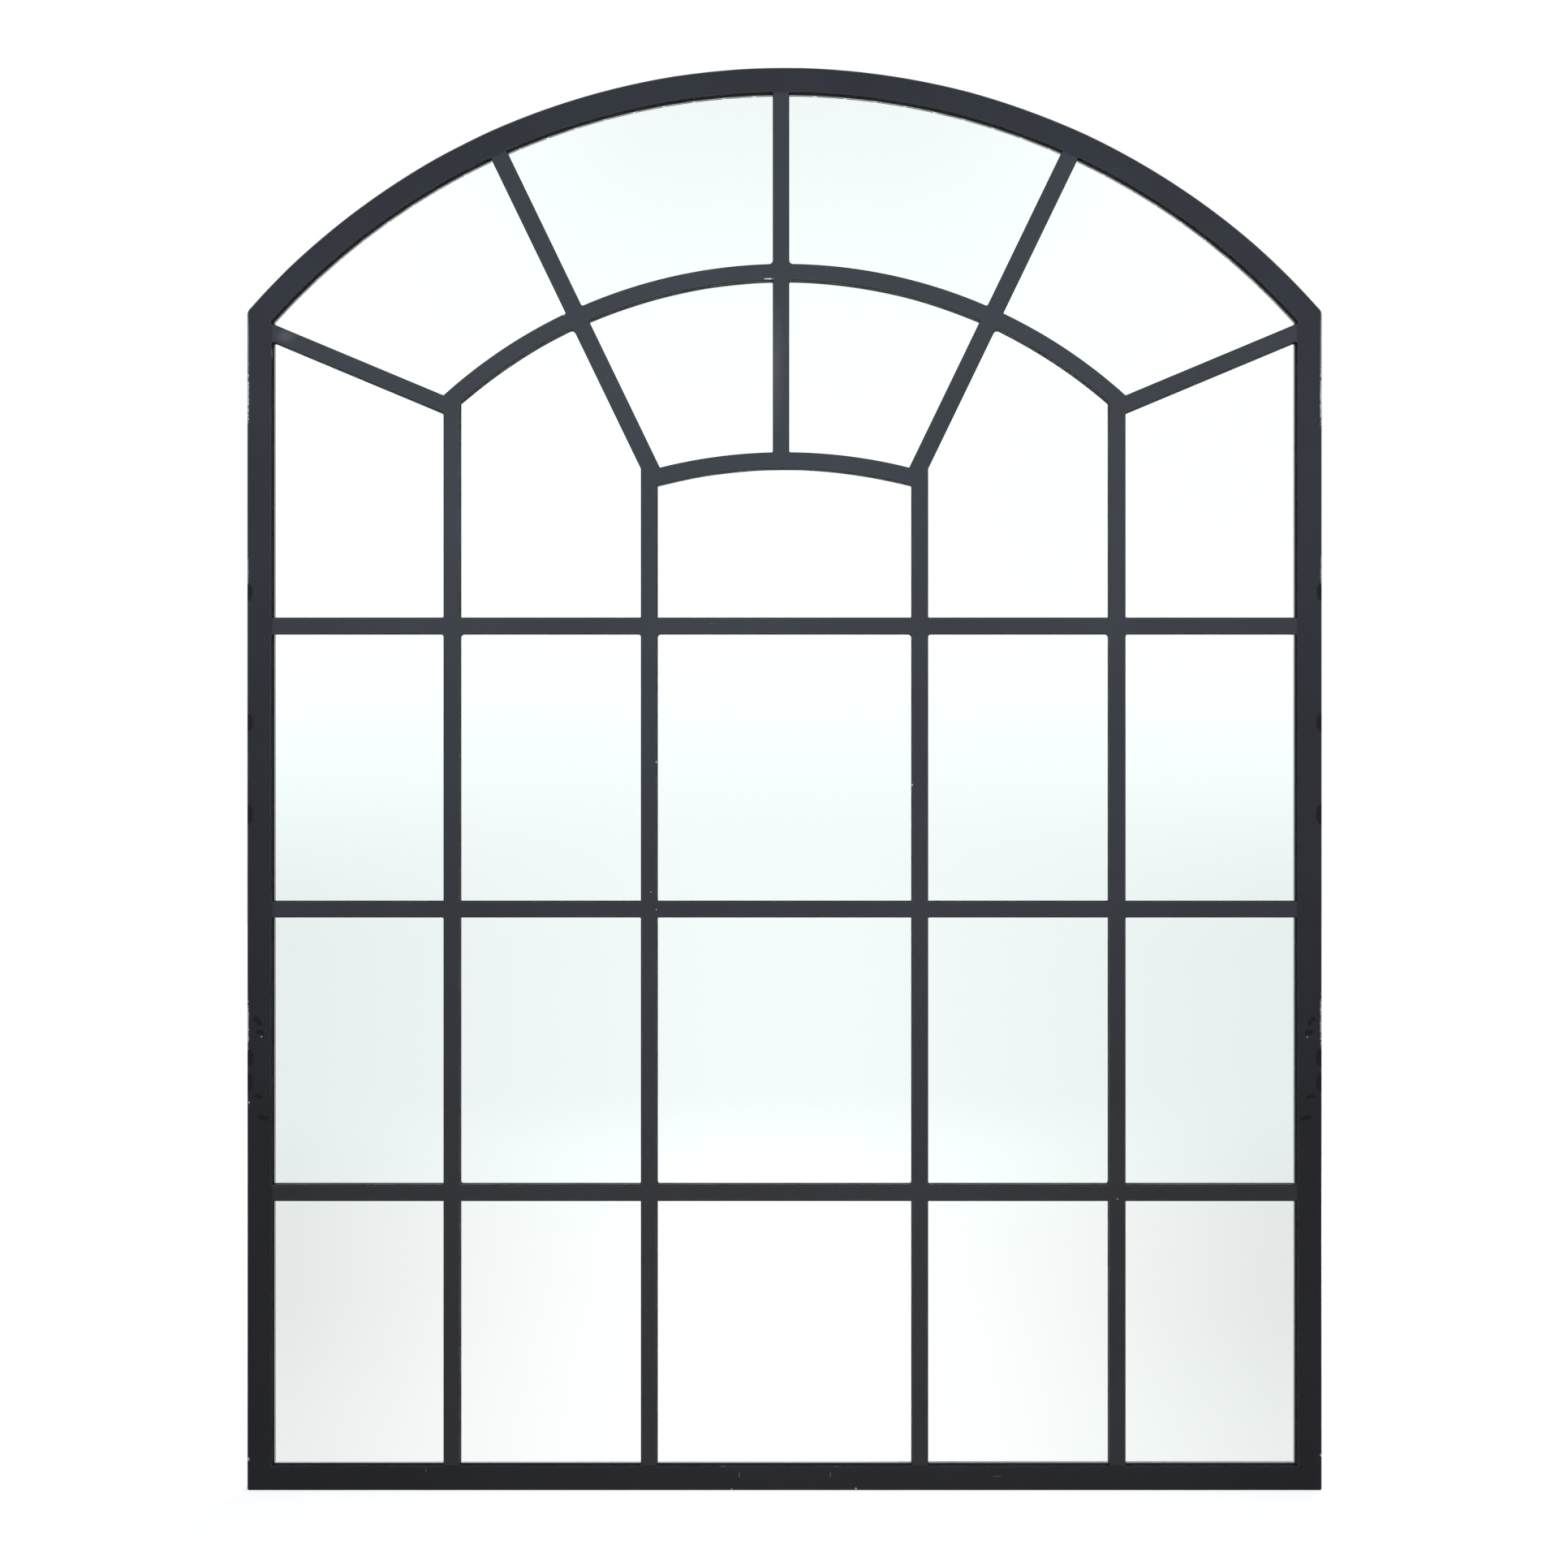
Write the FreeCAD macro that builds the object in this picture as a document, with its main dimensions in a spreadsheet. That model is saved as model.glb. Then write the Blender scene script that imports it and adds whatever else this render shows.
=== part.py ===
import FreeCAD, Part
import os

import Sketcher

# Arched window mirror for a wall: a welded steel window frame, a mirror sheet behind its bars, and the
# board, clips and hangers that the wall side holds.
# Frame: millimetres, +X to the right seen from the front, +Y from the front to the wall, +Z up.
# Origin: centre of the bottom rail's underside, half way through the depth of the border tube.

Vector = FreeCAD.Vector
Rotation = FreeCAD.Rotation
Placement = FreeCAD.Placement
X_AXIS = Vector(1, 0, 0)
Y_AXIS = Vector(0, 1, 0)
Z_AXIS = Vector(0, 0, 1)

# Driving dimensions: millimetres, and degrees where the name says angle.
SIZES = {
    # border of square steel tube
    "overall_width": 914.0,
    "overall_height": 1210.2,
    "arch_radius": 607.3,
    "border_face": 21.2,
    "border_depth": 22.0,
    "tube_wall": 1.2,
    "tube_corner": 1.6,
    # flat bars that divide the panes
    "bar_face": 14.1,
    "bar_depth": 5.0,
    "outer_mullion_offset": 283.1,
    "inner_mullion_offset": 115.2,
    "lower_row_height": 253.0,
    "upper_row_drop": 147.7,
    # the two arched bars and the bars that fan out between the arches
    "outer_fan_radius": 432.3,
    "outer_fan_drop": 166.9,
    "inner_fan_radius": 435.8,
    "inner_fan_drop": 327.1,
    "fan_bar_face": 15.0,
    "fan_bar_angle": 64.2,
    "fan_bar_rise": 4.1,
    "shoulder_bar_drop": 2.4,
    "centre_bar_shift": 3.0,
    # glazing
    "tape_width": 10.0,
    "tape_thickness": 0.5,
    "seal_width": 1.5,
    "mirror_thickness": 4.0,
    "board_thickness": 3.0,
    "board_edge_gap": 0.5,
    # offset clips that hold the board
    "clip_width": 16.0,
    "clip_thickness": 1.2,
    "clip_foot": 8.0,
    "clip_tongue": 18.0,
    "clip_gap": 0.3,
    "stile_clip_low": 150.0,
    "stile_clip_strap_gap": 75.9,
    "rail_clip_pitch": 280.0,
    "arch_clip_angle": 35.0,
    # self-tapping pan-head screws
    "screw_radius": 1.9,
    "screw_length": 9.5,
    "screw_head_radius": 3.6,
    "screw_head_height": 2.2,
    "screw_slot_width": 0.9,
    "screw_slot_depth": 1.2,
    "screw_clearance": 0.1,
    # ring hangers
    "hanger_drop": 62.9,
    "strap_width": 12.0,
    "strap_thickness": 1.5,
    "strap_length": 54.0,
    "strap_hole_drop": 27.0,
    "strap_hole_pitch": 19.0,
    "ring_wire": 3.0,
    "ring_clearance": 0.3,
    "ring_inner_width": 15.0,
    "ring_corner": 2.6,
    "ring_reach": 20.0,
    # rubber bumpers on the wall side
    "bumper_radius": 7.5,
    "bumper_thickness": 8.0,
    "bumper_round": 1.5,
    "bumper_height": 40.0,
}
STILE_CLIPS = 3
OVERRUN = 60.0  # how far a cutting tool runs past what it cuts
OVERRUN_ANGLE = "2 deg"  # how much further than its mitres the arch is bent before they are cut

document = FreeCAD.newDocument("arched_window_mirror")
sheet = document.addObject("Spreadsheet::Sheet", "sizes")
for row, (alias, number) in enumerate(SIZES.items(), start=1):
    sheet.set(f"A{row}", alias)
    sheet.set(f"B{row}", str(number))
    sheet.setAlias(f"B{row}", alias)
document.recompute()

# Expressions that several pieces share. Each is a text over the cells of the sheet.
HALF_WIDTH = "(sizes.overall_width / 2)"
INNER_X = "(sizes.overall_width / 2 - sizes.border_face)"
TUBE_CENTRE_X = "(sizes.overall_width / 2 - sizes.border_face / 2)"
ARCH_CENTRE = "(sizes.overall_height - sizes.arch_radius)"
ARCH_INNER = "(sizes.arch_radius - sizes.border_face)"
SHOULDER = f"({ARCH_CENTRE} + sqrt(sizes.arch_radius ^ 2 - {HALF_WIDTH} ^ 2))"
INNER_SHOULDER = f"({ARCH_CENTRE} + sqrt({ARCH_INNER} ^ 2 - {INNER_X} ^ 2))"

FRONT = "(-sizes.border_depth / 2)"
BACK = "(sizes.border_depth / 2)"
BAR_BACK = f"({FRONT} + sizes.bar_depth)"
MIRROR_FRONT = f"({BAR_BACK} + sizes.tape_thickness)"
MIRROR_BACK = f"({MIRROR_FRONT} + sizes.mirror_thickness)"
BOARD_BACK = f"({MIRROR_BACK} + sizes.board_thickness)"
BAR_LAYER = (FRONT, BAR_BACK)
TAPE_LAYER = (BAR_BACK, MIRROR_FRONT)

# Each fan arch hangs a drop below the top of the whole frame.
OUTER_FAN_CENTRE = "(sizes.overall_height - sizes.outer_fan_drop - sizes.outer_fan_radius)"
INNER_FAN_CENTRE = "(sizes.overall_height - sizes.inner_fan_drop - sizes.inner_fan_radius)"
OUTER_MULLION_EDGE = "(sizes.outer_mullion_offset + sizes.bar_face / 2)"
INNER_MULLION_EDGE = "(sizes.inner_mullion_offset + sizes.bar_face / 2)"

# The upper row of crossbars keeps its distance below the inner fan arch, and the rows are evenly spaced.
UPPER_ROW = f"({INNER_FAN_CENTRE} + sizes.inner_fan_radius - sizes.upper_row_drop)"
MIDDLE_ROW = f"((sizes.lower_row_height + {UPPER_ROW}) / 2)"

HANGER_HEIGHT = f"({SHOULDER} - sizes.hanger_drop)"
EYE_RADIUS = "(sizes.ring_wire / 2 + sizes.ring_clearance)"
PIVOT_Y = f"({BACK} + sizes.strap_thickness + {EYE_RADIUS})"
RING_HALF_WIDTH = "(sizes.ring_inner_width / 2 + sizes.ring_wire / 2)"


def value(expression):
    """The number that an expression over the sheet gives now."""
    return float(sheet.evalExpression(expression))


def bind(item, expressions):
    """Bind properties of an object to expressions."""
    for path, expression in expressions.items():
        item.setExpression(path, expression)
    return item


def place(item, x="0", y="0", z="0", rotation=None):
    """Put an object at a point given by three expressions, turned by a fixed rotation."""
    item.Placement = Placement(Vector(0, 0, 0), rotation or Rotation())
    return bind(item, {"Placement.Base.x": x, "Placement.Base.y": y, "Placement.Base.z": z})


def box(name, x, y, z):
    """A box between two expressions along each axis."""
    item = document.addObject("Part::Box", name)
    bind(item, {"Length": f"{x[1]} - {x[0]}", "Width": f"{y[1]} - {y[0]}", "Height": f"{z[1]} - {z[0]}"})
    return place(item, x[0], y[0], z[0])


def cylinder(name, radius, length, rotation=None, **position):
    """A cylinder along +Z before its rotation."""
    item = document.addObject("Part::Cylinder", name)
    bind(item, {"Radius": radius, "Height": length})
    return place(item, rotation=rotation, **position)


ALONG_X = Rotation(Y_AXIS, 90)
ALONG_Y = Rotation(Y_AXIS, 180) * Rotation(X_AXIS, -90)


def disc(name, radius, centre_z, layer, sweep=360):
    """A disc about a Y axis above the origin, through one layer of the depth; half of it is the upper half."""
    item = cylinder(name, radius, f"{layer[1]} - {layer[0]}", ALONG_Y, y=layer[0], z=centre_z)
    item.Angle = sweep
    return item


def boolean(kind, name, base, tool):
    """A cut, fuse or common of two objects, without the seams that it leaves on one surface."""
    item = document.addObject(f"Part::{kind}", name)
    item.Base = base
    item.Tool = tool
    item.Refine = True
    return item


def mirrored(name, source):
    """The same piece on the other side of the upright middle plane."""
    item = document.addObject("Part::Mirroring", name)
    item.Source = source
    item.Normal = X_AXIS
    return item


def grouped(name, members):
    """Separate alike pieces that share one node."""
    item = document.addObject("Part::Compound", name)
    item.Links = members
    return item


# Sketches and bodies -----------------------------------------------------------------------------


def new_body(name, **position):
    return place(document.addObject("PartDesign::Body", name), **position)


def new_sketch(body, name, plane):
    """A sketch on one of the body's own origin planes."""
    sketch = body.newObject("Sketcher::SketchObject", name)
    support = [feature for feature in body.Origin.OriginFeatures if feature.Role == plane][0]
    sketch.AttachmentSupport = [(support, "")]
    sketch.MapMode = "FlatFace"
    return sketch


def constrain(sketch, kind, *where, to=None):
    """Add one constraint, driven by an expression where it has a size."""
    if to is None:
        sketch.addConstraint(Sketcher.Constraint(kind, *where))
        return
    index = sketch.addConstraint(Sketcher.Constraint(kind, *where, value(to)))
    sketch.setExpression(f"Constraints[{index}]", to)


def add_polygon(sketch, corners):
    """A closed straight-sided loop whose corners are pairs of expressions."""
    first = sketch.GeometryCount
    points = [Vector(value(across), value(up), 0) for across, up in corners]
    for start, end in zip(points, points[1:] + points[:1]):
        sketch.addGeometry(Part.LineSegment(start, end))
    for index, (across, up) in enumerate(corners):
        line = first + index
        previous = first + (index - 1) % len(corners)
        constrain(sketch, "Coincident", previous, 2, line, 1)
        constrain(sketch, "DistanceX", -1, 1, line, 1, to=across)
        constrain(sketch, "DistanceY", -1, 1, line, 1, to=up)


def add_circle(sketch, across, up, radius):
    """A circle whose centre and radius are expressions."""
    centre = Vector(value(across), value(up), 0)
    circle = sketch.addGeometry(Part.Circle(centre, Z_AXIS, value(radius)))
    constrain(sketch, "Radius", circle, to=radius)
    constrain(sketch, "DistanceX", -1, 1, circle, 3, to=across)
    constrain(sketch, "DistanceY", -1, 1, circle, 3, to=up)


def add_arched_loop(sketch, inset):
    """The outline of the whole frame, drawn in from its outside by an inset."""
    half = f"({HALF_WIDTH} - {inset})"
    radius = f"(sizes.arch_radius - {inset})"
    left, right = -value(half), value(half)
    base = value(inset)
    rise = value(f"{ARCH_CENTRE} + sqrt({radius} ^ 2 - {half} ^ 2)")
    centre = Vector(0, value(ARCH_CENTRE), 0)
    bottom = sketch.addGeometry(Part.LineSegment(Vector(left, base, 0), Vector(right, base, 0)))
    side = sketch.addGeometry(Part.LineSegment(Vector(right, base, 0), Vector(right, rise, 0)))
    crown = Part.Arc(Vector(right, rise, 0), centre + Vector(0, value(radius), 0), Vector(left, rise, 0))
    arch = sketch.addGeometry(crown)
    other = sketch.addGeometry(Part.LineSegment(Vector(left, rise, 0), Vector(left, base, 0)))
    constrain(sketch, "Coincident", bottom, 2, side, 1)
    constrain(sketch, "Coincident", side, 2, arch, 1)
    constrain(sketch, "Coincident", arch, 2, other, 1)
    constrain(sketch, "Coincident", other, 2, bottom, 1)
    constrain(sketch, "Vertical", side)
    constrain(sketch, "Vertical", other)
    constrain(sketch, "PointOnObject", arch, 3, -2)
    constrain(sketch, "DistanceY", -1, 1, arch, 3, to=ARCH_CENTRE)
    constrain(sketch, "Radius", arch, to=radius)
    for end, across in ((1, f"-{half}"), (2, half)):
        constrain(sketch, "DistanceX", -1, 1, bottom, end, to=across)
        constrain(sketch, "DistanceY", -1, 1, bottom, end, to=inset)


def pad(body, sketch, length, reversed_way=False, midplane=False):
    feature = body.newObject("PartDesign::Pad", f"{sketch.Name}_pad")
    feature.Profile = sketch
    feature.Reversed = reversed_way
    feature.Midplane = midplane
    bind(feature, {"Length": length})
    return feature


def pocket(body, sketch, both_ways):
    """Cut a sketch right through, both ways or only towards the wall."""
    feature = body.newObject("PartDesign::Pocket", f"{sketch.Name}_pocket")
    feature.Profile = sketch
    feature.Type = "ThroughAll"
    feature.Midplane = both_ways
    return feature


def round_edges(body, base, name, radius, chosen):
    """Round the edges of the last feature that a test chooses."""
    document.recompute()
    edges = [f"Edge{index}" for index, edge in enumerate(base.Shape.Edges, start=1) if chosen(edge)]
    feature = body.newObject("PartDesign::Fillet", name)
    feature.Base = (base, edges)
    bind(feature, {"Radius": radius})
    return feature


# Border ------------------------------------------------------------------------------------------

# Where a board clip is screwed to each tube: (x, z) of the screw, and the clip's turn about +Y that
# points its tongue to the glass.
TOP_CLIP = f"({HANGER_HEIGHT} - sizes.strap_length - sizes.stile_clip_strap_gap)"
CLIP_PITCH = f"(({TOP_CLIP} - sizes.stile_clip_low) / {STILE_CLIPS - 1})"
STILE_SEATS = [
    (f"(-{TUBE_CENTRE_X})", f"(sizes.stile_clip_low + {index} * {CLIP_PITCH})", "0")
    for index in range(STILE_CLIPS)
]
RAIL_SEATS = [
    (f"({step} * sizes.rail_clip_pitch)", "(sizes.border_face / 2)", "-90")
    for step in (-1, 0, 1)
]
ARCH_CENTRELINE = "(sizes.arch_radius - sizes.border_face / 2)"
ARCH_SEATS = [
    (
        f"({ARCH_CENTRELINE} * sin({step} * sizes.arch_clip_angle))",
        f"({ARCH_CENTRELINE} * cos({step} * sizes.arch_clip_angle))",
        f"(90 + {step} * sizes.arch_clip_angle)",
    )
    for step in (-1, 0, 1)
]
STRAP_HOLES = [
    (f"(-{TUBE_CENTRE_X})", f"({HANGER_HEIGHT} - sizes.strap_hole_drop - {index} * sizes.strap_hole_pitch)")
    for index in (0, 1)
]
PILOT_RADIUS = "(sizes.screw_radius + sizes.screw_clearance)"


def add_tube_section(sketch, low, high, across_is_depth):
    """The tube's wall in section: a rectangle in a rectangle."""
    for inset in ("0", "sizes.tube_wall"):
        side = (f"({low} + {inset})", f"({high} - {inset})")
        depth = (f"({FRONT} + {inset})", f"({BACK} - {inset})")
        across, up = (depth, side) if across_is_depth else (side, depth)
        add_polygon(sketch, [(across[0], up[0]), (across[1], up[0]), (across[1], up[1]), (across[0], up[1])])


def on_tube_corner(edge, sides):
    """Whether an edge runs along one of the four outer corners of a tube."""
    depth = value(BACK)
    middle = edge.valueAt((edge.FirstParameter + edge.LastParameter) / 2)
    return abs(abs(middle.y) - depth) < 0.01 and min(abs(sides(middle) - side) for side in (0, 1)) < 0.001


def mitre(body, name, outer, inner, away):
    """Cut a tube's end off along the line through an outer and an inner corner, on one side of it."""
    step = (f"({inner[0]} - {outer[0]})", f"({inner[1]} - {outer[1]})")
    start = (f"({outer[0]} - {step[0]})", f"({outer[1]} - {step[1]})")
    end = (f"({inner[0]} + {step[0]})", f"({inner[1]} + {step[1]})")
    sketch = new_sketch(body, name, "XZ_Plane")
    add_polygon(
        sketch,
        [start, end, (end[0], f"({end[1]} + {away})"), (start[0], f"({start[1]} + {away})")],
    )
    return pocket(body, sketch, both_ways=True)


def pilot_holes(body, name, seats):
    """Holes for screws through the tube's wall side only."""
    sketch = new_sketch(body, name, "XZ_Plane")
    for seat in seats:
        add_circle(sketch, seat[0], seat[1], PILOT_RADIUS)
    return pocket(body, sketch, both_ways=False)


def make_stile():
    body = new_body("left_stile")
    section = new_sketch(body, "stile_section", "XY_Plane")
    add_tube_section(section, f"(-{HALF_WIDTH})", f"(-{INNER_X})", across_is_depth=False)
    length = pad(body, section, SHOULDER)
    across = value(HALF_WIDTH)
    face = value("sizes.border_face")
    round_edges(
        body, length, "stile_corners", "sizes.tube_corner",
        lambda edge: abs(edge.tangentAt(edge.FirstParameter).z) > 0.99
        and on_tube_corner(edge, lambda point: (point.x + across) / face),
    )
    mitre(body, "stile_top_mitre", (f"(-{HALF_WIDTH})", SHOULDER), (f"(-{INNER_X})", INNER_SHOULDER), OVERRUN)
    mitre(body, "stile_foot_mitre", (f"(-{HALF_WIDTH})", "0"), (f"(-{INNER_X})", "sizes.border_face"), -OVERRUN)
    pilot_holes(body, "stile_pilots", STILE_SEATS + STRAP_HOLES)
    return body


def make_bottom_rail():
    body = new_body("bottom_rail")
    section = new_sketch(body, "rail_section", "YZ_Plane")
    add_tube_section(section, "0", "sizes.border_face", across_is_depth=True)
    length = pad(body, section, "sizes.overall_width", midplane=True)
    face = value("sizes.border_face")
    round_edges(
        body, length, "rail_corners", "sizes.tube_corner",
        lambda edge: abs(edge.tangentAt(edge.FirstParameter).x) > 0.99
        and on_tube_corner(edge, lambda point: point.z / face),
    )
    for side, name in (("-", "rail_left_mitre"), ("", "rail_right_mitre")):
        outer = (f"({side}{HALF_WIDTH})", "0")
        inner = (f"({side}{INNER_X})", "sizes.border_face")
        mitre(body, name, outer, inner, OVERRUN)
    pilot_holes(body, "rail_pilots", RAIL_SEATS)
    return body


def make_arch_rail():
    body = new_body("arch_rail", z=ARCH_CENTRE)
    section = new_sketch(body, "arch_section", "YZ_Plane")
    add_tube_section(section, ARCH_INNER, "sizes.arch_radius", across_is_depth=True)
    bend = body.newObject("PartDesign::Revolution", "arch_bend")
    bend.Profile = section
    bend.ReferenceAxis = (section, ["H_Axis"])
    bend.Midplane = True
    bind(bend, {"Angle": f"2 * atan({HALF_WIDTH} / ({INNER_SHOULDER} - {ARCH_CENTRE})) + {OVERRUN_ANGLE}"})
    inside = value(ARCH_INNER)
    face = value("sizes.border_face")
    round_edges(
        body, bend, "arch_corners", "sizes.tube_corner",
        lambda edge: edge.Length > 2 * face
        and on_tube_corner(edge, lambda point: ((point.x ** 2 + point.z ** 2) ** 0.5 - inside) / face),
    )
    for side, name in (("-", "arch_left_mitre"), ("", "arch_right_mitre")):
        outer = (f"({side}{HALF_WIDTH})", f"({SHOULDER} - {ARCH_CENTRE})")
        inner = (f"({side}{INNER_X})", f"({INNER_SHOULDER} - {ARCH_CENTRE})")
        mitre(body, name, outer, inner, -OVERRUN)
    pilot_holes(body, "arch_pilots", ARCH_SEATS)
    return body


left_stile = make_stile()
border = [left_stile, mirrored("right_stile", left_stile), make_bottom_rail(), make_arch_rail()]


# Flat bars ---------------------------------------------------------------------------------------


def half_ring(name, radius, face, centre_z, layer):
    """The upper half of a flat ring about a Y axis, its outer edge at the radius."""
    outside = disc(f"{name}_outside", radius, centre_z, layer, sweep=180)
    inside = disc(f"{name}_inside", f"({radius} - {face})", centre_z, layer)
    return boolean("Cut", name, outside, inside)


class Grille:
    """Every bar of one layer of the depth: the steel bars, or the tape strips behind them.

    A strip is narrower than its bar by the same amount on each side, so one margin makes both, and it stops
    short of the border by a gap.
    """

    def __init__(self, prefix, layer, margin, border_gap):
        self.prefix = prefix
        self.layer = layer
        self.margin = margin
        self.border_gap = border_gap
        self.face = f"(sizes.bar_face - 2 * {margin})"
        self.pieces = []
        self.build()

    def keep(self, item):
        self.pieces.append(item)
        return item

    def keep_pair(self, name, left):
        """Keep a left-hand piece and its mirror image."""
        self.keep(left)
        self.keep(mirrored(f"{self.prefix}{name}_right", left))

    def band(self, centre, face):
        """The two edges of a bar about a centre line."""
        return (f"({centre} - {face} / 2)", f"({centre} + {face} / 2)")

    def mullion(self, name, offset, fan):
        """An upright bar from the bottom rail to the underside of its arched bar."""
        fan_radius, fan_centre, fan_ring = fan
        crown = f"({fan_centre} + sqrt(({fan_radius} - {self.face} / 2) ^ 2 - {offset} ^ 2))"
        upright = box(f"{self.prefix}{name}_upright", self.band(f"(-{offset})", self.face), self.layer,
                      (f"(sizes.border_face + {self.border_gap})", crown))
        self.keep_pair(name, boolean("Cut", f"{self.prefix}{name}_left", upright, fan_ring))

    def crossbars(self, row, height):
        """The five bars of one row, each between two uprights."""
        level = self.band(height, self.face)
        ends = [
            (f"(-{INNER_X} + {self.border_gap})", f"(-{OUTER_MULLION_EDGE})"),
            (f"(-{OUTER_MULLION_EDGE} + sizes.bar_face)", f"(-{INNER_MULLION_EDGE})"),
        ]
        for place_name, span in zip(("end", "side"), ends):
            self.keep_pair(f"{row}_{place_name}_bar",
                           box(f"{self.prefix}{row}_{place_name}_bar_left", span, self.layer, level))
        middle = f"({INNER_MULLION_EDGE} - sizes.bar_face)"
        self.keep(box(f"{self.prefix}{row}_middle_bar", (f"(-{middle})", middle), self.layer, level))

    def arched_bar(self, name, fan, edge):
        """An arched bar that ends flush with the outer sides of its two uprights."""
        reach = f"({edge} - {self.margin})"
        fan_radius, fan_centre, fan_ring = fan
        top = f"({fan_centre} + {fan_radius} + {OVERRUN})"
        window = box(f"{self.prefix}{name}_window", (f"(-{reach})", reach), self.layer, (fan_centre, top))
        self.keep(boolean("Common", f"{self.prefix}{name}", fan_ring, window))

    def shoulder_bars(self):
        """The slanted bars from the stiles' shoulders to the outer corners of the outer fan arch."""
        far = f"(-{INNER_X})"
        near = f"(-{OUTER_MULLION_EDGE})"
        high = f"({INNER_SHOULDER} - sizes.shoulder_bar_drop)"
        low = f"({OUTER_FAN_CENTRE} + sqrt(sizes.outer_fan_radius ^ 2 - {OUTER_MULLION_EDGE} ^ 2))"
        slope = f"(({high} - {low}) / ({near} - {far}))"
        start = f"({far} + {self.border_gap})"
        start_high = f"({high} - {slope} * {self.border_gap})"
        lean = f"sqrt(1 + {slope} ^ 2)"
        trim = f"({self.margin} * {lean})"
        depth = f"(({self.face} + {self.margin}) * {lean})"
        body = new_body(f"{self.prefix}shoulder_bar_left", y=self.layer[0])
        sketch = new_sketch(body, f"{self.prefix}shoulder_outline", "XZ_Plane")
        add_polygon(sketch, [
            (start, f"({start_high} - {depth})"), (near, f"({low} - {depth})"),
            (near, f"({low} - {trim})"), (start, f"({start_high} - {trim})"),
        ])
        pad(body, sketch, f"{self.layer[1]} - {self.layer[0]}", reversed_way=True)
        self.keep_pair("shoulder_bar", body)

    def fan_bars(self, zones):
        """The slanted bars that lean outwards from the tops of the inner uprights, one for each zone."""
        face = f"(sizes.fan_bar_face - 2 * {self.margin})"
        foot_z = (f"({INNER_FAN_CENTRE} + sqrt(sizes.inner_fan_radius ^ 2 - sizes.inner_mullion_offset ^ 2)"
                  " + sizes.fan_bar_rise)")
        lean = "90 - sizes.fan_bar_angle"
        sine = "sin(sizes.fan_bar_angle)"
        cosine = "cos(sizes.fan_bar_angle)"
        for level, zone in zones.items():
            name = f"{level}_fan_bar"
            blank = document.addObject("Part::Box", f"{self.prefix}{level}_fan_blank")
            bind(blank, {
                "Length": face,
                "Width": f"{self.layer[1]} - {self.layer[0]}",
                "Height": f"sizes.overall_height - {foot_z} + {OVERRUN}",
            })
            place(
                blank,
                f"-sizes.inner_mullion_offset - {face} / 2 * {sine} + {OVERRUN / 2} * {cosine}",
                self.layer[0],
                f"{foot_z} - {face} / 2 * {cosine} - {OVERRUN / 2} * {sine}",
                Rotation(Vector(0, -1, 0), value(lean)),
            )
            blank.setExpression("Placement.Rotation.Angle", lean)
            self.keep_pair(name, boolean("Common", f"{self.prefix}{name}_left", blank, zone))

    def centre_bars(self, zones):
        """The upright bars between the arches, a little left of the middle as on the real frame."""
        for level, zone in zones.items():
            blank = box(f"{self.prefix}{level}_centre_blank", self.band("(-sizes.centre_bar_shift)", self.face),
                        self.layer, (OUTER_FAN_CENTRE, "sizes.overall_height"))
            self.keep(boolean("Common", f"{self.prefix}{level}_centre_bar", blank, zone))

    def build(self):
        outer_radius = f"(sizes.outer_fan_radius - {self.margin})"
        inner_radius = f"(sizes.inner_fan_radius - {self.margin})"
        outer_fan = (outer_radius, OUTER_FAN_CENTRE,
                     half_ring(f"{self.prefix}outer_fan_ring", outer_radius, self.face, OUTER_FAN_CENTRE, self.layer))
        inner_fan = (inner_radius, INNER_FAN_CENTRE,
                     half_ring(f"{self.prefix}inner_fan_ring", inner_radius, self.face, INNER_FAN_CENTRE, self.layer))
        self.mullion("outer_mullion", "sizes.outer_mullion_offset", outer_fan)
        self.mullion("inner_mullion", "sizes.inner_mullion_offset", inner_fan)
        self.crossbars("lower", "sizes.lower_row_height")
        self.crossbars("middle", MIDDLE_ROW)
        self.crossbars("upper", UPPER_ROW)
        self.arched_bar("outer_fan_arch", outer_fan, OUTER_MULLION_EDGE)
        self.arched_bar("inner_fan_arch", inner_fan, INNER_MULLION_EDGE)
        self.shoulder_bars()
        zones = {
            "upper": boolean(
                "Cut", f"{self.prefix}upper_zone",
                disc(f"{self.prefix}upper_zone_outside", f"({ARCH_INNER} - {self.border_gap})", ARCH_CENTRE,
                     self.layer),
                disc(f"{self.prefix}upper_zone_inside", "sizes.outer_fan_radius", OUTER_FAN_CENTRE, self.layer)),
            "lower": boolean(
                "Cut", f"{self.prefix}lower_zone",
                disc(f"{self.prefix}lower_zone_outside", "(sizes.outer_fan_radius - sizes.bar_face)",
                     OUTER_FAN_CENTRE, self.layer),
                disc(f"{self.prefix}lower_zone_inside", "sizes.inner_fan_radius", INNER_FAN_CENTRE, self.layer)),
        }
        self.fan_bars(zones)
        self.centre_bars(zones)


steel_bars = Grille("", BAR_LAYER, "0", "0").pieces


# Glazing -----------------------------------------------------------------------------------------


def arched_sheet(name, layer, *insets):
    """A flat sheet in the outline of the frame, drawn in by an inset; a second inset cuts its middle out."""
    body = new_body(name, y=layer[0])
    sketch = new_sketch(body, f"{name}_outline", "XZ_Plane")
    for inset in insets:
        add_arched_loop(sketch, inset)
    pad(body, sketch, f"{layer[1]} - {layer[0]}", reversed_way=True)
    return body


MIRROR_INSET = "(sizes.border_face + sizes.seal_width)"
BOARD_INSET = f"({MIRROR_INSET} + sizes.board_edge_gap)"

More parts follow.
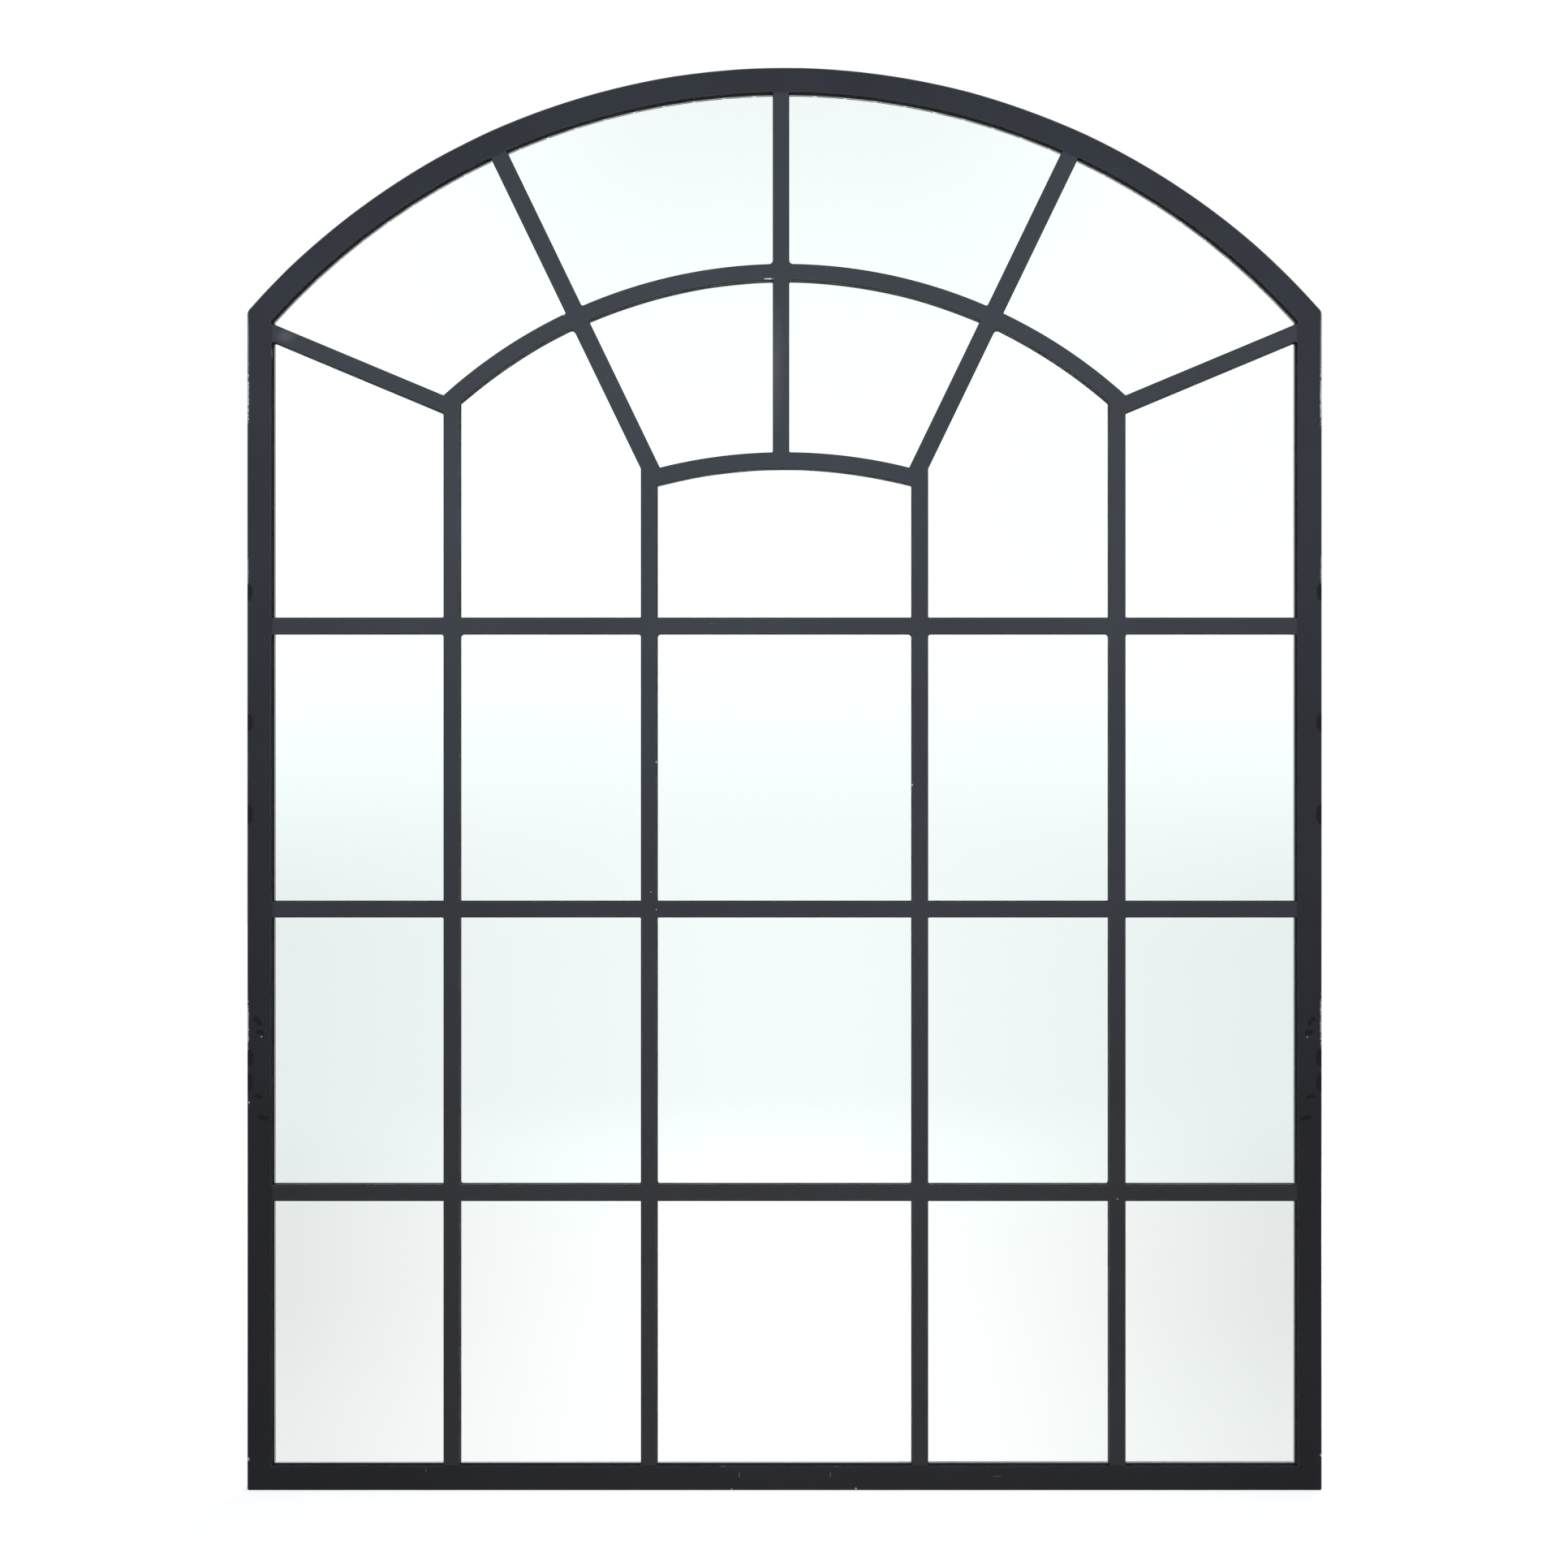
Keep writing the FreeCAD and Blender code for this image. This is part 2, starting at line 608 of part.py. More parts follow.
TAPE_MARGIN = "((sizes.bar_face - sizes.tape_width) / 2)"
glazing = [
    arched_sheet("mirror_sheet", (MIRROR_FRONT, MIRROR_BACK), MIRROR_INSET),
    arched_sheet("backing_board", (MIRROR_BACK, BOARD_BACK), BOARD_INSET),
    arched_sheet("edge_seal", (BAR_BACK, MIRROR_BACK), "sizes.border_face", MIRROR_INSET),
    grouped("glazing_tape", Grille("tape_", TAPE_LAYER, TAPE_MARGIN, "sizes.seal_width").pieces),
]


# Board clips and their screws --------------------------------------------------------------------


def clip_blank():
    """One offset clip beside the origin: foot on the tube, riser, and tongue on the board, towards +X."""
    half = "(sizes.clip_width / 2)"
    height = (f"(-{half})", half)
    inside = "(sizes.border_face / 2 + sizes.clip_gap)"
    riser_end = f"({inside} + sizes.clip_thickness)"
    foot_back = f"({BACK} + sizes.clip_thickness)"
    foot = box("clip_foot_plate", ("(-sizes.clip_foot)", riser_end), (BACK, foot_back), height)
    riser = box("clip_riser", (inside, riser_end), (BOARD_BACK, foot_back), height)
    tongue = box("clip_tongue_plate", (inside, f"({inside} + sizes.clip_tongue)"),
                 (BOARD_BACK, f"({BOARD_BACK} + sizes.clip_thickness)"), height)
    bent = boolean("Fuse", "clip_bent", boolean("Fuse", "clip_foot_and_riser", foot, riser), tongue)
    hole = cylinder("clip_hole", PILOT_RADIUS, "sizes.clip_thickness * 3", ALONG_Y,
                    y=f"({BACK} - sizes.clip_thickness)")
    return boolean("Cut", "clip_blank", bent, hole)


def screw_blank(name, seat):
    """A pan-head screw on the Y axis with its head's underside at the seat, and a cross in the head."""
    head = cylinder(f"{name}_head", "sizes.screw_head_radius", "sizes.screw_head_height", ALONG_Y, y=seat)
    shank = cylinder(f"{name}_shank", "sizes.screw_radius", "sizes.screw_length", ALONG_Y,
                     y=f"({seat} - sizes.screw_length)")
    solid = boolean("Fuse", f"{name}_solid", shank, head)
    top = f"({seat} + sizes.screw_head_height)"
    depth = (f"({top} - sizes.screw_slot_depth)", f"({top} + sizes.screw_slot_depth)")
    long_way = ("(-sizes.screw_head_radius * 0.6)", "(sizes.screw_head_radius * 0.6)")
    short_way = ("(-sizes.screw_slot_width / 2)", "(sizes.screw_slot_width / 2)")
    cross = boolean("Fuse", f"{name}_cross", box(f"{name}_slot_a", long_way, depth, short_way),
                    box(f"{name}_slot_b", short_way, depth, long_way))
    return boolean("Cut", name, solid, cross)


def repeated(name, blank, seats):
    """A node with a copy of one blank at each seat: (x, z, turn about +Y), all expressions."""
    document.recompute()
    copies = []
    for across, up, turn in seats:
        copy = blank.Shape.copy()
        copy.transformShape(
            Placement(Vector(value(across), 0, value(up)), Rotation(Y_AXIS, value(turn))).toMatrix())
        copies.append(copy)
    item = document.addObject("Part::Feature", name)
    item.Shape = Part.Compound(copies)
    return item


def across_the_middle(seats):
    """The same seats on the right-hand stile, turned to face the glass from there."""
    return [(f"(-{across})", up, f"(180 + {turn})") for across, up, turn in seats]


arch_seats = [(across, f"({ARCH_CENTRE} + {up})", turn) for across, up, turn in ARCH_SEATS]
clip_seats = STILE_SEATS + across_the_middle(STILE_SEATS) + RAIL_SEATS + arch_seats
strap_seats = [(across, up, "0") for across, up in STRAP_HOLES]
fasteners = [
    repeated("board_clips", clip_blank(), clip_seats),
    repeated("clip_screws", screw_blank("clip_screw_blank", f"({BACK} + sizes.clip_thickness)"), clip_seats),
    repeated("hanger_screws", screw_blank("strap_screw_blank", f"({BACK} + sizes.strap_thickness)"),
             strap_seats + across_the_middle(strap_seats)),
]


# Hangers -----------------------------------------------------------------------------------------


def make_strap():
    """A steel strap screwed to the stile, its top end rolled into an eye for the ring."""
    half = "(sizes.strap_width / 2)"
    left = f"(-{TUBE_CENTRE_X} - {half})"
    plate_back = f"({BACK} + sizes.strap_thickness)"
    foot_z = f"({HANGER_HEIGHT} - sizes.strap_length + sizes.strap_width / 2)"
    plate = box("strap_plate", (left, f"(-{TUBE_CENTRE_X} + {half})"), (BACK, plate_back),
                (foot_z, HANGER_HEIGHT))
    foot = cylinder("strap_foot", half, "sizes.strap_thickness", ALONG_Y, x=f"(-{TUBE_CENTRE_X})", y=BACK,
                    z=foot_z)
    knuckle = cylinder("strap_knuckle", f"({EYE_RADIUS} + sizes.strap_thickness)", "sizes.strap_width",
                       ALONG_X, x=left, y=PIVOT_Y, z=HANGER_HEIGHT)
    solid = boolean("Fuse", "strap_solid", boolean("Fuse", "strap_flat", plate, foot), knuckle)
    holes = [
        cylinder("strap_eye", EYE_RADIUS, "sizes.strap_width * 2", ALONG_X, x=f"({left} - {half})",
                 y=PIVOT_Y, z=HANGER_HEIGHT)
    ]
    for index, (across, up) in enumerate(STRAP_HOLES):
        holes.append(cylinder(f"strap_hole_{index}", PILOT_RADIUS, "sizes.strap_thickness * 3", ALONG_Y,
                              x=across, y=f"({BACK} - sizes.strap_thickness)", z=up))
    return boolean("Cut", "hanger_strap_left", solid, grouped("strap_holes", holes))


def make_ring():
    """A wire ring in the strap's eye: a straight bar, two tight corners and a half round, hanging down."""
    bar_half = f"({RING_HALF_WIDTH} - sizes.ring_corner)"
    centre_x = f"(-{TUBE_CENTRE_X})"
    bend_z = f"({HANGER_HEIGHT} - sizes.ring_reach + {RING_HALF_WIDTH})"
    corner_z = f"({HANGER_HEIGHT} - sizes.ring_corner)"
    wire = "(sizes.ring_wire / 2)"

    def bend(name, radius, sweep, x, z, rotation):
        item = document.addObject("Part::Torus", name)
        item.Angle3 = sweep
        bind(item, {"Radius1": radius, "Radius2": wire})
        return place(item, x, PIVOT_Y, z, rotation)

    pieces = [
        cylinder("ring_bar", wire, f"2 * {bar_half}", ALONG_X, x=f"({centre_x} - {bar_half})", y=PIVOT_Y,
                 z=HANGER_HEIGHT),
        bend("ring_round", RING_HALF_WIDTH, 180, centre_x, bend_z, Rotation(X_AXIS, -90)),
        bend("ring_corner_right", "sizes.ring_corner", 90, f"({centre_x} + {bar_half})", corner_z,
             Rotation(X_AXIS, 90)),
        bend("ring_corner_left", "sizes.ring_corner", 90, f"({centre_x} - {bar_half})", corner_z,
             Rotation(X_AXIS, 90) * Rotation(Z_AXIS, 90)),
    ]
    for side, name in (("-", "left"), ("+", "right")):
        pieces.append(cylinder(f"ring_side_{name}", wire, f"{corner_z} - {bend_z}",
                               x=f"({centre_x} {side} {RING_HALF_WIDTH})", y=PIVOT_Y, z=bend_z))
    whole = document.addObject("Part::MultiFuse", "hanger_ring_left")
    whole.Shapes = pieces
    whole.Refine = True
    return whole


def make_bumper():
    """A round rubber foot on the wall side of the stile, near the floor."""
    body = new_body("wall_bumper_left", x=f"(-{TUBE_CENTRE_X})", y=BACK, z="sizes.bumper_height")
    sketch = new_sketch(body, "bumper_outline", "XZ_Plane")
    centre = sketch.addGeometry(Part.Circle(Vector(0, 0, 0), Z_AXIS, value("sizes.bumper_radius")))
    constrain(sketch, "Radius", centre, to="sizes.bumper_radius")
    constrain(sketch, "Coincident", centre, 3, -1, 1)
    foot = pad(body, sketch, "sizes.bumper_thickness", reversed_way=True)
    thickness = value("sizes.bumper_thickness")
    round_edges(body, foot, "bumper_rim", "sizes.bumper_round",
                lambda edge: edge.Closed and abs(edge.CenterOfMass.y - thickness) < 0.01)
    return body


hangers = []
for left in (make_strap(), make_ring(), make_bumper()):
    hangers += [left, mirrored(left.Name.replace("left", "right"), left)]


# Check and export --------------------------------------------------------------------------------

document.recompute()
for item in document.Objects:
    if {"Invalid", "Error"} & set(item.State):
        raise RuntimeError(f"{item.Name} failed: {item.State}")

os.makedirs("parts", exist_ok=True)
for item in border + steel_bars + glazing + fasteners + hangers:
    item.Label = item.Name
    shape = item.Shape
    if shape.isNull() or not shape.isValid() or not shape.Solids:
        raise RuntimeError(f"{item.Label} has no valid solid")
    shape.exportStep(f"parts/{item.Label}.step")
    print(f"{item.Label}: {len(shape.Solids)} solid(s), {shape.Volume / 1000:.2f} cm3")
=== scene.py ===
"""Looks of an arched window mirror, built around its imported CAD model.

Lengths in the classes are millimetres and become metres in the meshes. +X is right seen from the front,
+Y goes to the wall, +Z is up.
"""

import logging
import math
from dataclasses import dataclass, replace
from enum import Enum
from typing import Callable, Iterable, Mapping, Sequence, Union

import bmesh
import bpy
from bmesh.types import BMEdge, BMFace, BMesh, BMVert
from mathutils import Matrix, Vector
from mathutils.geometry import intersect_line_line, intersect_line_sphere_2d


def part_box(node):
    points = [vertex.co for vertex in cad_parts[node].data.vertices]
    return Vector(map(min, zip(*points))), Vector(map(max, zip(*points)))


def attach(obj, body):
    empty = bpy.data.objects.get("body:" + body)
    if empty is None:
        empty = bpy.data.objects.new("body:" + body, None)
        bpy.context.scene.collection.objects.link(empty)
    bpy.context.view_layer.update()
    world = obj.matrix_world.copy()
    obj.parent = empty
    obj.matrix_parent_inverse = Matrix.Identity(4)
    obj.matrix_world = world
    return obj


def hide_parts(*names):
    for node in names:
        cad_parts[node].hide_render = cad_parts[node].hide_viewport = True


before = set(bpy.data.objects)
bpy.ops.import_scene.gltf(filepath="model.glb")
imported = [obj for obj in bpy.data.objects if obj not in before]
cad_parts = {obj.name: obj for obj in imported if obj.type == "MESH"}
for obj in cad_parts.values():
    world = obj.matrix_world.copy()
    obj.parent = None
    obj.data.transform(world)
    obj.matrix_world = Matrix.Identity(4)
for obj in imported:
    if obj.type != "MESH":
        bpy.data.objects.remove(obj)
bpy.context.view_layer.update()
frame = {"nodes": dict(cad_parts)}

MM = 0.001
RUN = 100.0  # any length in millimetres: a straight side runs on to its corners
NEAR = 1e-6  # metres: points nearer than this are one
ON_PLANE = 1e-7  # metres: a point nearer to a cut than this lies on it
UPRIGHT = 0.1  # a face whose normal's y is below this is a wall
FLAT = 0.9999  # and one whose normal's y is above this is a front or back
CREASE = math.radians(35)  # edges that turn by more look sharp
CORNER = math.radians(40)  # edges of a fitting that turn by more are eased
STRAIGHT = math.radians(1)  # faces of a fitting that turn by less are joined
FIT = 25.0  # millimetres, over both corners: how far a part's box may differ from its node's
TUBES = ("stile", "rail")
Point = tuple[float, float]
log = logging.getLogger("arched_window_mirror")


# Outlines ----------------------------------------------------------------------------------------


@dataclass(frozen=True)
class Line:
    """A straight side through two points; the pane is on the left on the way from start to end."""

    start: Point
    end: Point

    def grown(self, by: float) -> "Line":
        """Shift the side away from its pane.

        Args:
            by: how far, in millimetres.

        Returns:
            The shifted side.
        """
        across = self.end[0] - self.start[0]
        up = self.end[1] - self.start[1]
        length = math.hypot(across, up)
        shift = (up / length * by, -across / length * by)
        return Line(
            (self.start[0] + shift[0], self.start[1] + shift[1]),
            (self.end[0] + shift[0], self.end[1] + shift[1]),
        )

    def flipped(self) -> "Line":
        """The same side of the pane on the other side of the middle plane."""
        return Line((-self.end[0], self.end[1]), (-self.start[0], self.start[1]))


@dataclass(frozen=True)
class Arc:
    """A side on the upper half of a circle about a point of the middle plane."""

    centre: float
    radius: float
    pane_inside: bool

    def grown(self, by: float) -> "Arc":
        """Shift the side away from its pane.

        Args:
            by: how far, in millimetres.

        Returns:
            The shifted side.
        """
        return Arc(self.centre, self.radius + (by if self.pane_inside else -by), self.pane_inside)

    def flipped(self) -> "Arc":
        """The same side of the pane on the other side of the middle plane."""
        return self


Side = Union[Line, Arc]


def meeting(first: Side, second: Side) -> Point:
    """The corner of two sides that follow each other.

    Args:
        first: a side.
        second: the next side; one of the two is straight.

    Returns:
        Their common point, the upper one where there are two.
    """
    if isinstance(first, Line) and isinstance(second, Line):
        ends = [Vector((*point, 0)) for side in (first, second) for point in (side.start, side.end)]
        found = intersect_line_line(*ends)[0]
        return (found.x, found.y)
    line, arc = (first, second) if isinstance(first, Line) else (second, first)
    centre = Vector((0, arc.centre))
    points = intersect_line_sphere_2d(Vector(line.start), Vector(line.end), centre, arc.radius, False)
    top = max(points, key=lambda point: point.y)
    return (top.x, top.y)


class Weld(Enum):
    """How round a corner is: the radius seen from the front, in millimetres."""

    SHARP = 0.45
    SMALL = 0.9
    ROUND = 1.7
    FULL = 2.6
    LARGE = 3.2
    BENT = 7.0


@dataclass(frozen=True)
class Outline:
    """A closed loop of sides, anticlockwise from the front, and the weld at the start of each side."""

    sides: tuple[Side, ...]
    welds: tuple[Weld, ...]

    def flipped(self) -> "Outline":
        """The outline on the other side of the middle plane."""
        count = len(self.sides)
        sides = tuple(side.flipped() for side in reversed(self.sides))
        return Outline(sides, tuple(self.welds[-index % count] for index in range(count)))


def rectangle(left: float, right: float, low: float, high: float, welds: Sequence[Weld]) -> Outline:
    """An upright rectangular outline.

    Args:
        left: lowest x.
        right: highest x.
        low: lowest z.
        high: highest z.
        welds: the welds of the two lower and of the two upper corners.

    Returns:
        The outline.
    """
    lower, upper = welds
    sides = (
        Line((left, low), (right, low)),
        Line((right, low), (right, high)),
        Line((right, high), (left, high)),
        Line((left, high), (left, low)),
    )
    return Outline(sides, (lower, lower, upper, upper))


def rising(x: float, start: float) -> Line:
    """An upright side, walked up from a height."""
    return Line((x, start), (x, start + RUN))


def falling(x: float, end: float) -> Line:
    """An upright side, walked down to a height."""
    return Line((x, end + RUN), (x, end))


# Plates with rounded edges -----------------------------------------------------------------------


@dataclass
class Plate:
    """A flat plate with holes, its front edges rounded, from the front plane back through a depth."""

    outline: Outline
    holes: Sequence[Outline]
    front: float
    depth: float
    outer_round: float
    hole_round: float
    steps: int = 4
    corner_steps: int = 5
    # painted highlight on the first ring of each hole's rounded edge, painted shade on the rings behind it
    hole_shades: tuple[float, ...] = (1.0, -0.4, -1.0, -1.0)
    # painted highlight on the outer rounded edge, strongest on its third ring from the side
    outer_shades: tuple[float, ...] = (0.0, 0.4, 1.4, 0.5)
    chord: float = 9.0
    dents: Callable[[float], float] = lambda angle: 0.0

    def draw(self, target: BMesh, outline: Outline, level: float, grow: float) -> None:
        """Add one outline to a mesh as a face, its arcs divided and its corners rounded.

        Args:
            target: the mesh to add it to.
            outline: the loop.
            level: y of the face.
            grow: how far the loop is drawn outside the outline.
        """
        mesh = bmesh.new()
        sides = [side.grown(grow) for side in outline.sides]
        corners = [meeting(sides[index - 1], side) for index, side in enumerate(sides)]
        verts = [mesh.verts.new((x * MM, level * MM, z * MM)) for x, z in corners]
        edges = [mesh.edges.new((vert, after)) for vert, after in zip(verts, verts[1:] + verts[:1])]
        for edge, side in zip(edges, sides):
            if isinstance(side, Arc):
                cuts = int(edge.calc_length() / (self.chord * MM))
                parts = bmesh.ops.subdivide_edges(mesh, edges=[edge], cuts=cuts)
                for inner in parts["geom_inner"]:
                    if isinstance(inner, BMVert):
                        self.bend(inner, side)
        bmesh.ops.contextual_create(mesh, geom=list(mesh.edges))
        for (x, z), weld in zip(corners, outline.welds):
            place = Vector((x * MM, level * MM, z * MM))
            vert = min(mesh.verts, key=lambda item: (item.co - place).length)
            spokes = [edge.other_vert(vert).co - vert.co for edge in vert.link_edges]
            offset = (weld.value + grow) * MM / math.tan(spokes[0].angle(spokes[1]) / 2)
            bmesh.ops.bevel(
                mesh, geom=[vert], offset=offset, offset_type="OFFSET", affect="VERTICES",
                segments=self.corner_steps, profile=0.5, material=-1, clamp_overlap=False)
        for face in mesh.faces:
            face.normal_update()
            if face.normal.y > 0:
                face.normal_flip()
        merge(target, mesh)

    def bend(self, vert: BMVert, side: Arc) -> None:
        """Move a vertex of a divided side onto its circle.

        Args:
            vert: the vertex.
            side: the circle.
        """
        centre = Vector((0, vert.co.y, side.centre * MM))
        spoke = (vert.co - centre).normalized()
        radius = side.radius
        if side.pane_inside:
            radius += self.dents(math.degrees(math.atan2(spoke.x, spoke.z)))
        vert.co = centre + spoke * radius * MM

    def profile(self, radius: float) -> list[tuple[float, float]]:
        """The steps of a quarter round, from flat to upright.

        Args:
            radius: its radius.

        Returns:
            For each step, how far it goes across and how far it goes deep, in metres.
        """
        angles = [math.pi / 2 * step / self.steps for step in range(self.steps + 1)]
        return [
            (radius * MM * (math.sin(b) - math.sin(a)), radius * MM * (math.cos(a) - math.cos(b)))
            for a, b in zip(angles, angles[1:])
        ]

    def round_in(
            self, mesh: BMesh, layer: bmesh.types.BMLayerItem, faces: list[BMFace],
            reversed_way: bool) -> None:
        """Step faces in along a quarter round.

        Args:
            mesh: the mesh.
            layer: the face layer that carries the painted highlight and shade of each ring.
            faces: the faces; they shrink.
            reversed_way: whether the round starts upright and goes forward, instead of flat and back.
        """
        steps = self.profile(self.outer_round if reversed_way else self.hole_round)
        shades = self.hole_shades
        if reversed_way:
            steps = [(across, -deep) for across, deep in reversed(steps)]
            shades = self.outer_shades
        for (across, deep), shade in zip(steps, shades):
            ring = bmesh.ops.inset_region(
                mesh, faces=faces, thickness=across, depth=-deep, use_boundary=True, use_even_offset=True)
            for face in ring["faces"]:
                face[layer] = shade

    def wall(self, mesh: BMesh, faces: list[BMFace], distance: float) -> list[BMFace]:
        """Extrude faces straight along Y.

        Args:
            mesh: the mesh.
            faces: the faces; they stay behind.
            distance: how far, in millimetres.

        Returns:
            The faces at the far end.
        """
        moved = bmesh.ops.extrude_face_region(mesh, geom=faces, use_keep_orig=True)["geom"]
        verts = [item for item in moved if isinstance(item, BMVert)]
        bmesh.ops.translate(mesh, verts=verts, vec=(0, distance * MM, 0))
        return [item for item in moved if isinstance(item, BMFace)]

    def build(self) -> BMesh:
        """Build the plate.

        Returns:
            A closed mesh. Its face layer "edge" says how strongly a rounded edge gets painted highlight,
            where it may also wear, past 1 on the outer edges, and is below 0 where a hole's edge and walls
            get painted shade.
        """
        mesh = bmesh.new()
        back = self.front + self.depth
        for hole in self.holes:
            self.draw(mesh, hole, self.front, self.hole_round)
        self.draw(mesh, self.outline, back, 0.0)
        highlight_and_shade_layer = mesh.faces.layers.float.new("edge")
        base = max(mesh.faces, key=lambda face: face.calc_center_median().y)
        panes = [face for face in mesh.faces if face is not base]
        self.round_in(mesh, highlight_and_shade_layer, panes, reversed_way=False)
        self.wall(mesh, panes, self.depth - self.hole_round)
        for face in mesh.faces:
            # pane walls that no ring has marked get painted shade
            if abs(face.normal.y) < UPRIGHT and face[highlight_and_shade_layer] == 0.0:
                face[highlight_and_shade_layer] = -1.0
        lid = self.wall(mesh, [base], self.outer_round - self.depth)
        self.round_in(mesh, highlight_and_shade_layer, lid, reversed_way=True)
        caps = [face for face in mesh.faces if len(face.verts) > 4]
        bmesh.ops.delete(mesh, geom=caps, context="FACES_ONLY")
        middle = (self.front + back) / 2 * MM
        for normal in (-1, 1):
            rims = [
                edge for edge in mesh.edges
                if edge.is_boundary and (edge.verts[0].co.y - middle) * normal > 0
            ]
            bmesh.ops.triangle_fill(
                mesh, use_beauty=True, use_dissolve=False, edges=rims, normal=(0, normal, 0))
        bmesh.ops.recalc_face_normals(mesh, faces=mesh.faces)
        return mesh


# Grille and border -------------------------------------------------------------------------------


@dataclass(frozen=True)
class Cut:
    """An upright plane that parts two pieces where they are welded."""

    centre: Point
    normal: Point
    reach: float

    def flipped(self) -> "Cut":
        """The same plane on the other side of the middle plane."""
        return Cut((-self.centre[0], self.centre[1]), (-self.normal[0], self.normal[1]), self.reach)

    def apply(self, mesh: BMesh) -> None:
        """Divide the mesh at the plane near the joint, and mark the edges there as seams.

        Args:
            mesh: the mesh to divide.
        """
        centre = Vector((self.centre[0] * MM, 0, self.centre[1] * MM))
        reach = self.reach * MM
        faces = [
            face for face in mesh.faces
            if min(vert.co.x for vert in face.verts) <= centre.x + reach
            and max(vert.co.x for vert in face.verts) >= centre.x - reach
            and min(vert.co.z for vert in face.verts) <= centre.z + reach
            and max(vert.co.z for vert in face.verts) >= centre.z - reach
        ]
        edges = dict.fromkeys(edge for face in faces for edge in face.edges)
        verts = dict.fromkeys(vert for face in faces for vert in face.verts)
        found = bmesh.ops.bisect_plane(
            mesh, geom=[*verts, *edges, *faces], dist=ON_PLANE, plane_co=centre,
            plane_no=(self.normal[0], 0, self.normal[1]))
        for item in found["geom_cut"]:
            if isinstance(item, BMEdge):
                middle = (item.verts[0].co + item.verts[1].co) / 2 - centre
                if math.hypot(middle.x, middle.z) <= reach:
                    item.seam = True


@dataclass
class Frame:
    """The welded frame: border tubes and flat bars."""

    half_width: float = 457.0
    arch_radius: float = 607.3
    arch_centre: float = 602.9
    border_face: float = 21.2
    front: float = -11.0
    tube_depth: float = 22.0
    tube_round: float = 1.6
    bar_face: float = 14.1
    bar_depth: float = 5.0
    bar_round: float = 1.25
    outer_mullion: float = 283.1
    inner_mullion: float = 115.2
    rows: tuple[float, ...] = (253.0, 494.2, 735.4)
    outer_fan_radius: float = 432.3
    outer_fan_centre: float = 611.0
    inner_fan_radius: float = 435.8
    inner_fan_centre: float = 447.3
    shoulder_bar_top: float = 992.4
    fan_bar_face: float = 15.0
    fan_bar_angle: float = 64.2
    fan_bar_foot: Point = (-115.2, 871.7)
    centre_bar: float = -3.0
    weld_gap: float = 0.3
    cut_margin: float = 5.0
    mitre_margin: float = 3.0
    shoulder_cut_drop: float = 3.0
    bends: tuple[float, ...] = (-56.0, -44.0, -29.0, -24.5, -9.0, -3.0, 2.0, 15.0, 25.0, 41.0, 56.0)
    flatness: float = 0.25

    @property
    def inner_x(self) -> float:
        """Half the width inside the border."""
        return self.half_width - self.border_face

    @property
    def half_bar(self) -> float:
        """Half the face of a flat bar."""
        return self.bar_face / 2

    def shoulder(self, inset: float) -> float:
        """Height at which the border's side meets its arch, drawn in by an inset."""
        across = self.half_width - inset
        return self.arch_centre + math.sqrt((self.arch_radius - inset) ** 2 - across ** 2)

    def outer_fan_corner(self) -> Point:
        """The outer top corner of the outer fan arch on the left."""
        across = self.outer_mullion + self.half_bar
        return (-across, self.outer_fan_centre + math.sqrt(self.outer_fan_radius ** 2 - across ** 2))

    def shoulder_lines(self) -> tuple[Line, Line]:
        """The upper edge, walked right, and the lower edge, walked left, of the left shoulder bar."""
        near = self.outer_fan_corner()
        far = (-self.inner_x, self.shoulder_bar_top)
        length = math.hypot(near[0] - far[0], near[1] - far[1])
        drop = self.bar_face * length / (near[0] - far[0])
        return (
            Line(far, near),
            Line((near[0], near[1] - drop), (far[0], far[1] - drop)),
        )

    def fan_lines(self) -> tuple[Line, Line]:
        """The outer edge, walked up, and the inner edge, walked down, of the left fan bars."""
        angle = math.radians(self.fan_bar_angle)
        foot = self.fan_bar_foot
        top = (foot[0] - 3 * RUN * math.cos(angle), foot[1] + 3 * RUN * math.sin(angle))
        half = self.fan_bar_face / 2
        return Line(foot, top).grown(-half), Line(top, foot).grown(-half)

    def arched(self, inset: float, lower: Weld, upper: Weld) -> Outline:
        """The outline of the whole frame, drawn in by an inset.

        Args:
            inset: how far it lies inside the frame's outside.
            lower: the rounding of its two lower corners.
            upper: the rounding of its two upper corners.

        Returns:
            The outline.
        """
        across = self.half_width - inset
        top = self.shoulder(inset)
        sides = (
            Line((-across, inset), (across, inset)),
            Line((across, inset), (across, top)),
            Arc(self.arch_centre, self.arch_radius - inset, True),
            Line((-across, top), (-across, inset)),
        )
        return Outline(sides, (lower, lower, upper, upper))

    def columns(self) -> list[tuple[float, float]]:
        """The five openings between the uprights, from left to right."""
        edges = [-self.inner_x]
        for upright in (-self.outer_mullion, -self.inner_mullion, self.inner_mullion, self.outer_mullion):
            edges += [upright - self.half_bar, upright + self.half_bar]
        edges.append(self.inner_x)
        return list(zip(edges[::2], edges[1::2]))

    def row_panes(self) -> list[Outline]:
        """The fifteen rectangular panes."""
        welds = ((Weld.SMALL, Weld.SHARP), (Weld.ROUND, Weld.SMALL), (Weld.SHARP, Weld.FULL))
        levels = [self.border_face]
        for row in self.rows:
            levels += [row - self.half_bar, row + self.half_bar]
        return [
            rectangle(left, right, low, high, pair)
            for low, high, pair in zip(levels[:-1:2], levels[1::2], welds)
            for left, right in self.columns()
        ]

    def standing(self, column: int, tops: tuple[Side, ...], welds: tuple[Weld, ...]) -> Outline:
        """A pane that stands on the upper row of crossbars.

        Args:
            column: its column, counted from the left.
            tops: its sides between the two uprights, from right to left.
            welds: the welds of its upper corners, from right to left.

        Returns:
            The outline.
        """
        left, right = self.columns()[column]
        floor = self.rows[-1] + self.half_bar
        sides = (Line((left, floor), (right, floor)), rising(right, floor), *tops, falling(left, floor))
        return Outline(sides, (Weld.SMALL, Weld.SMALL) + welds)

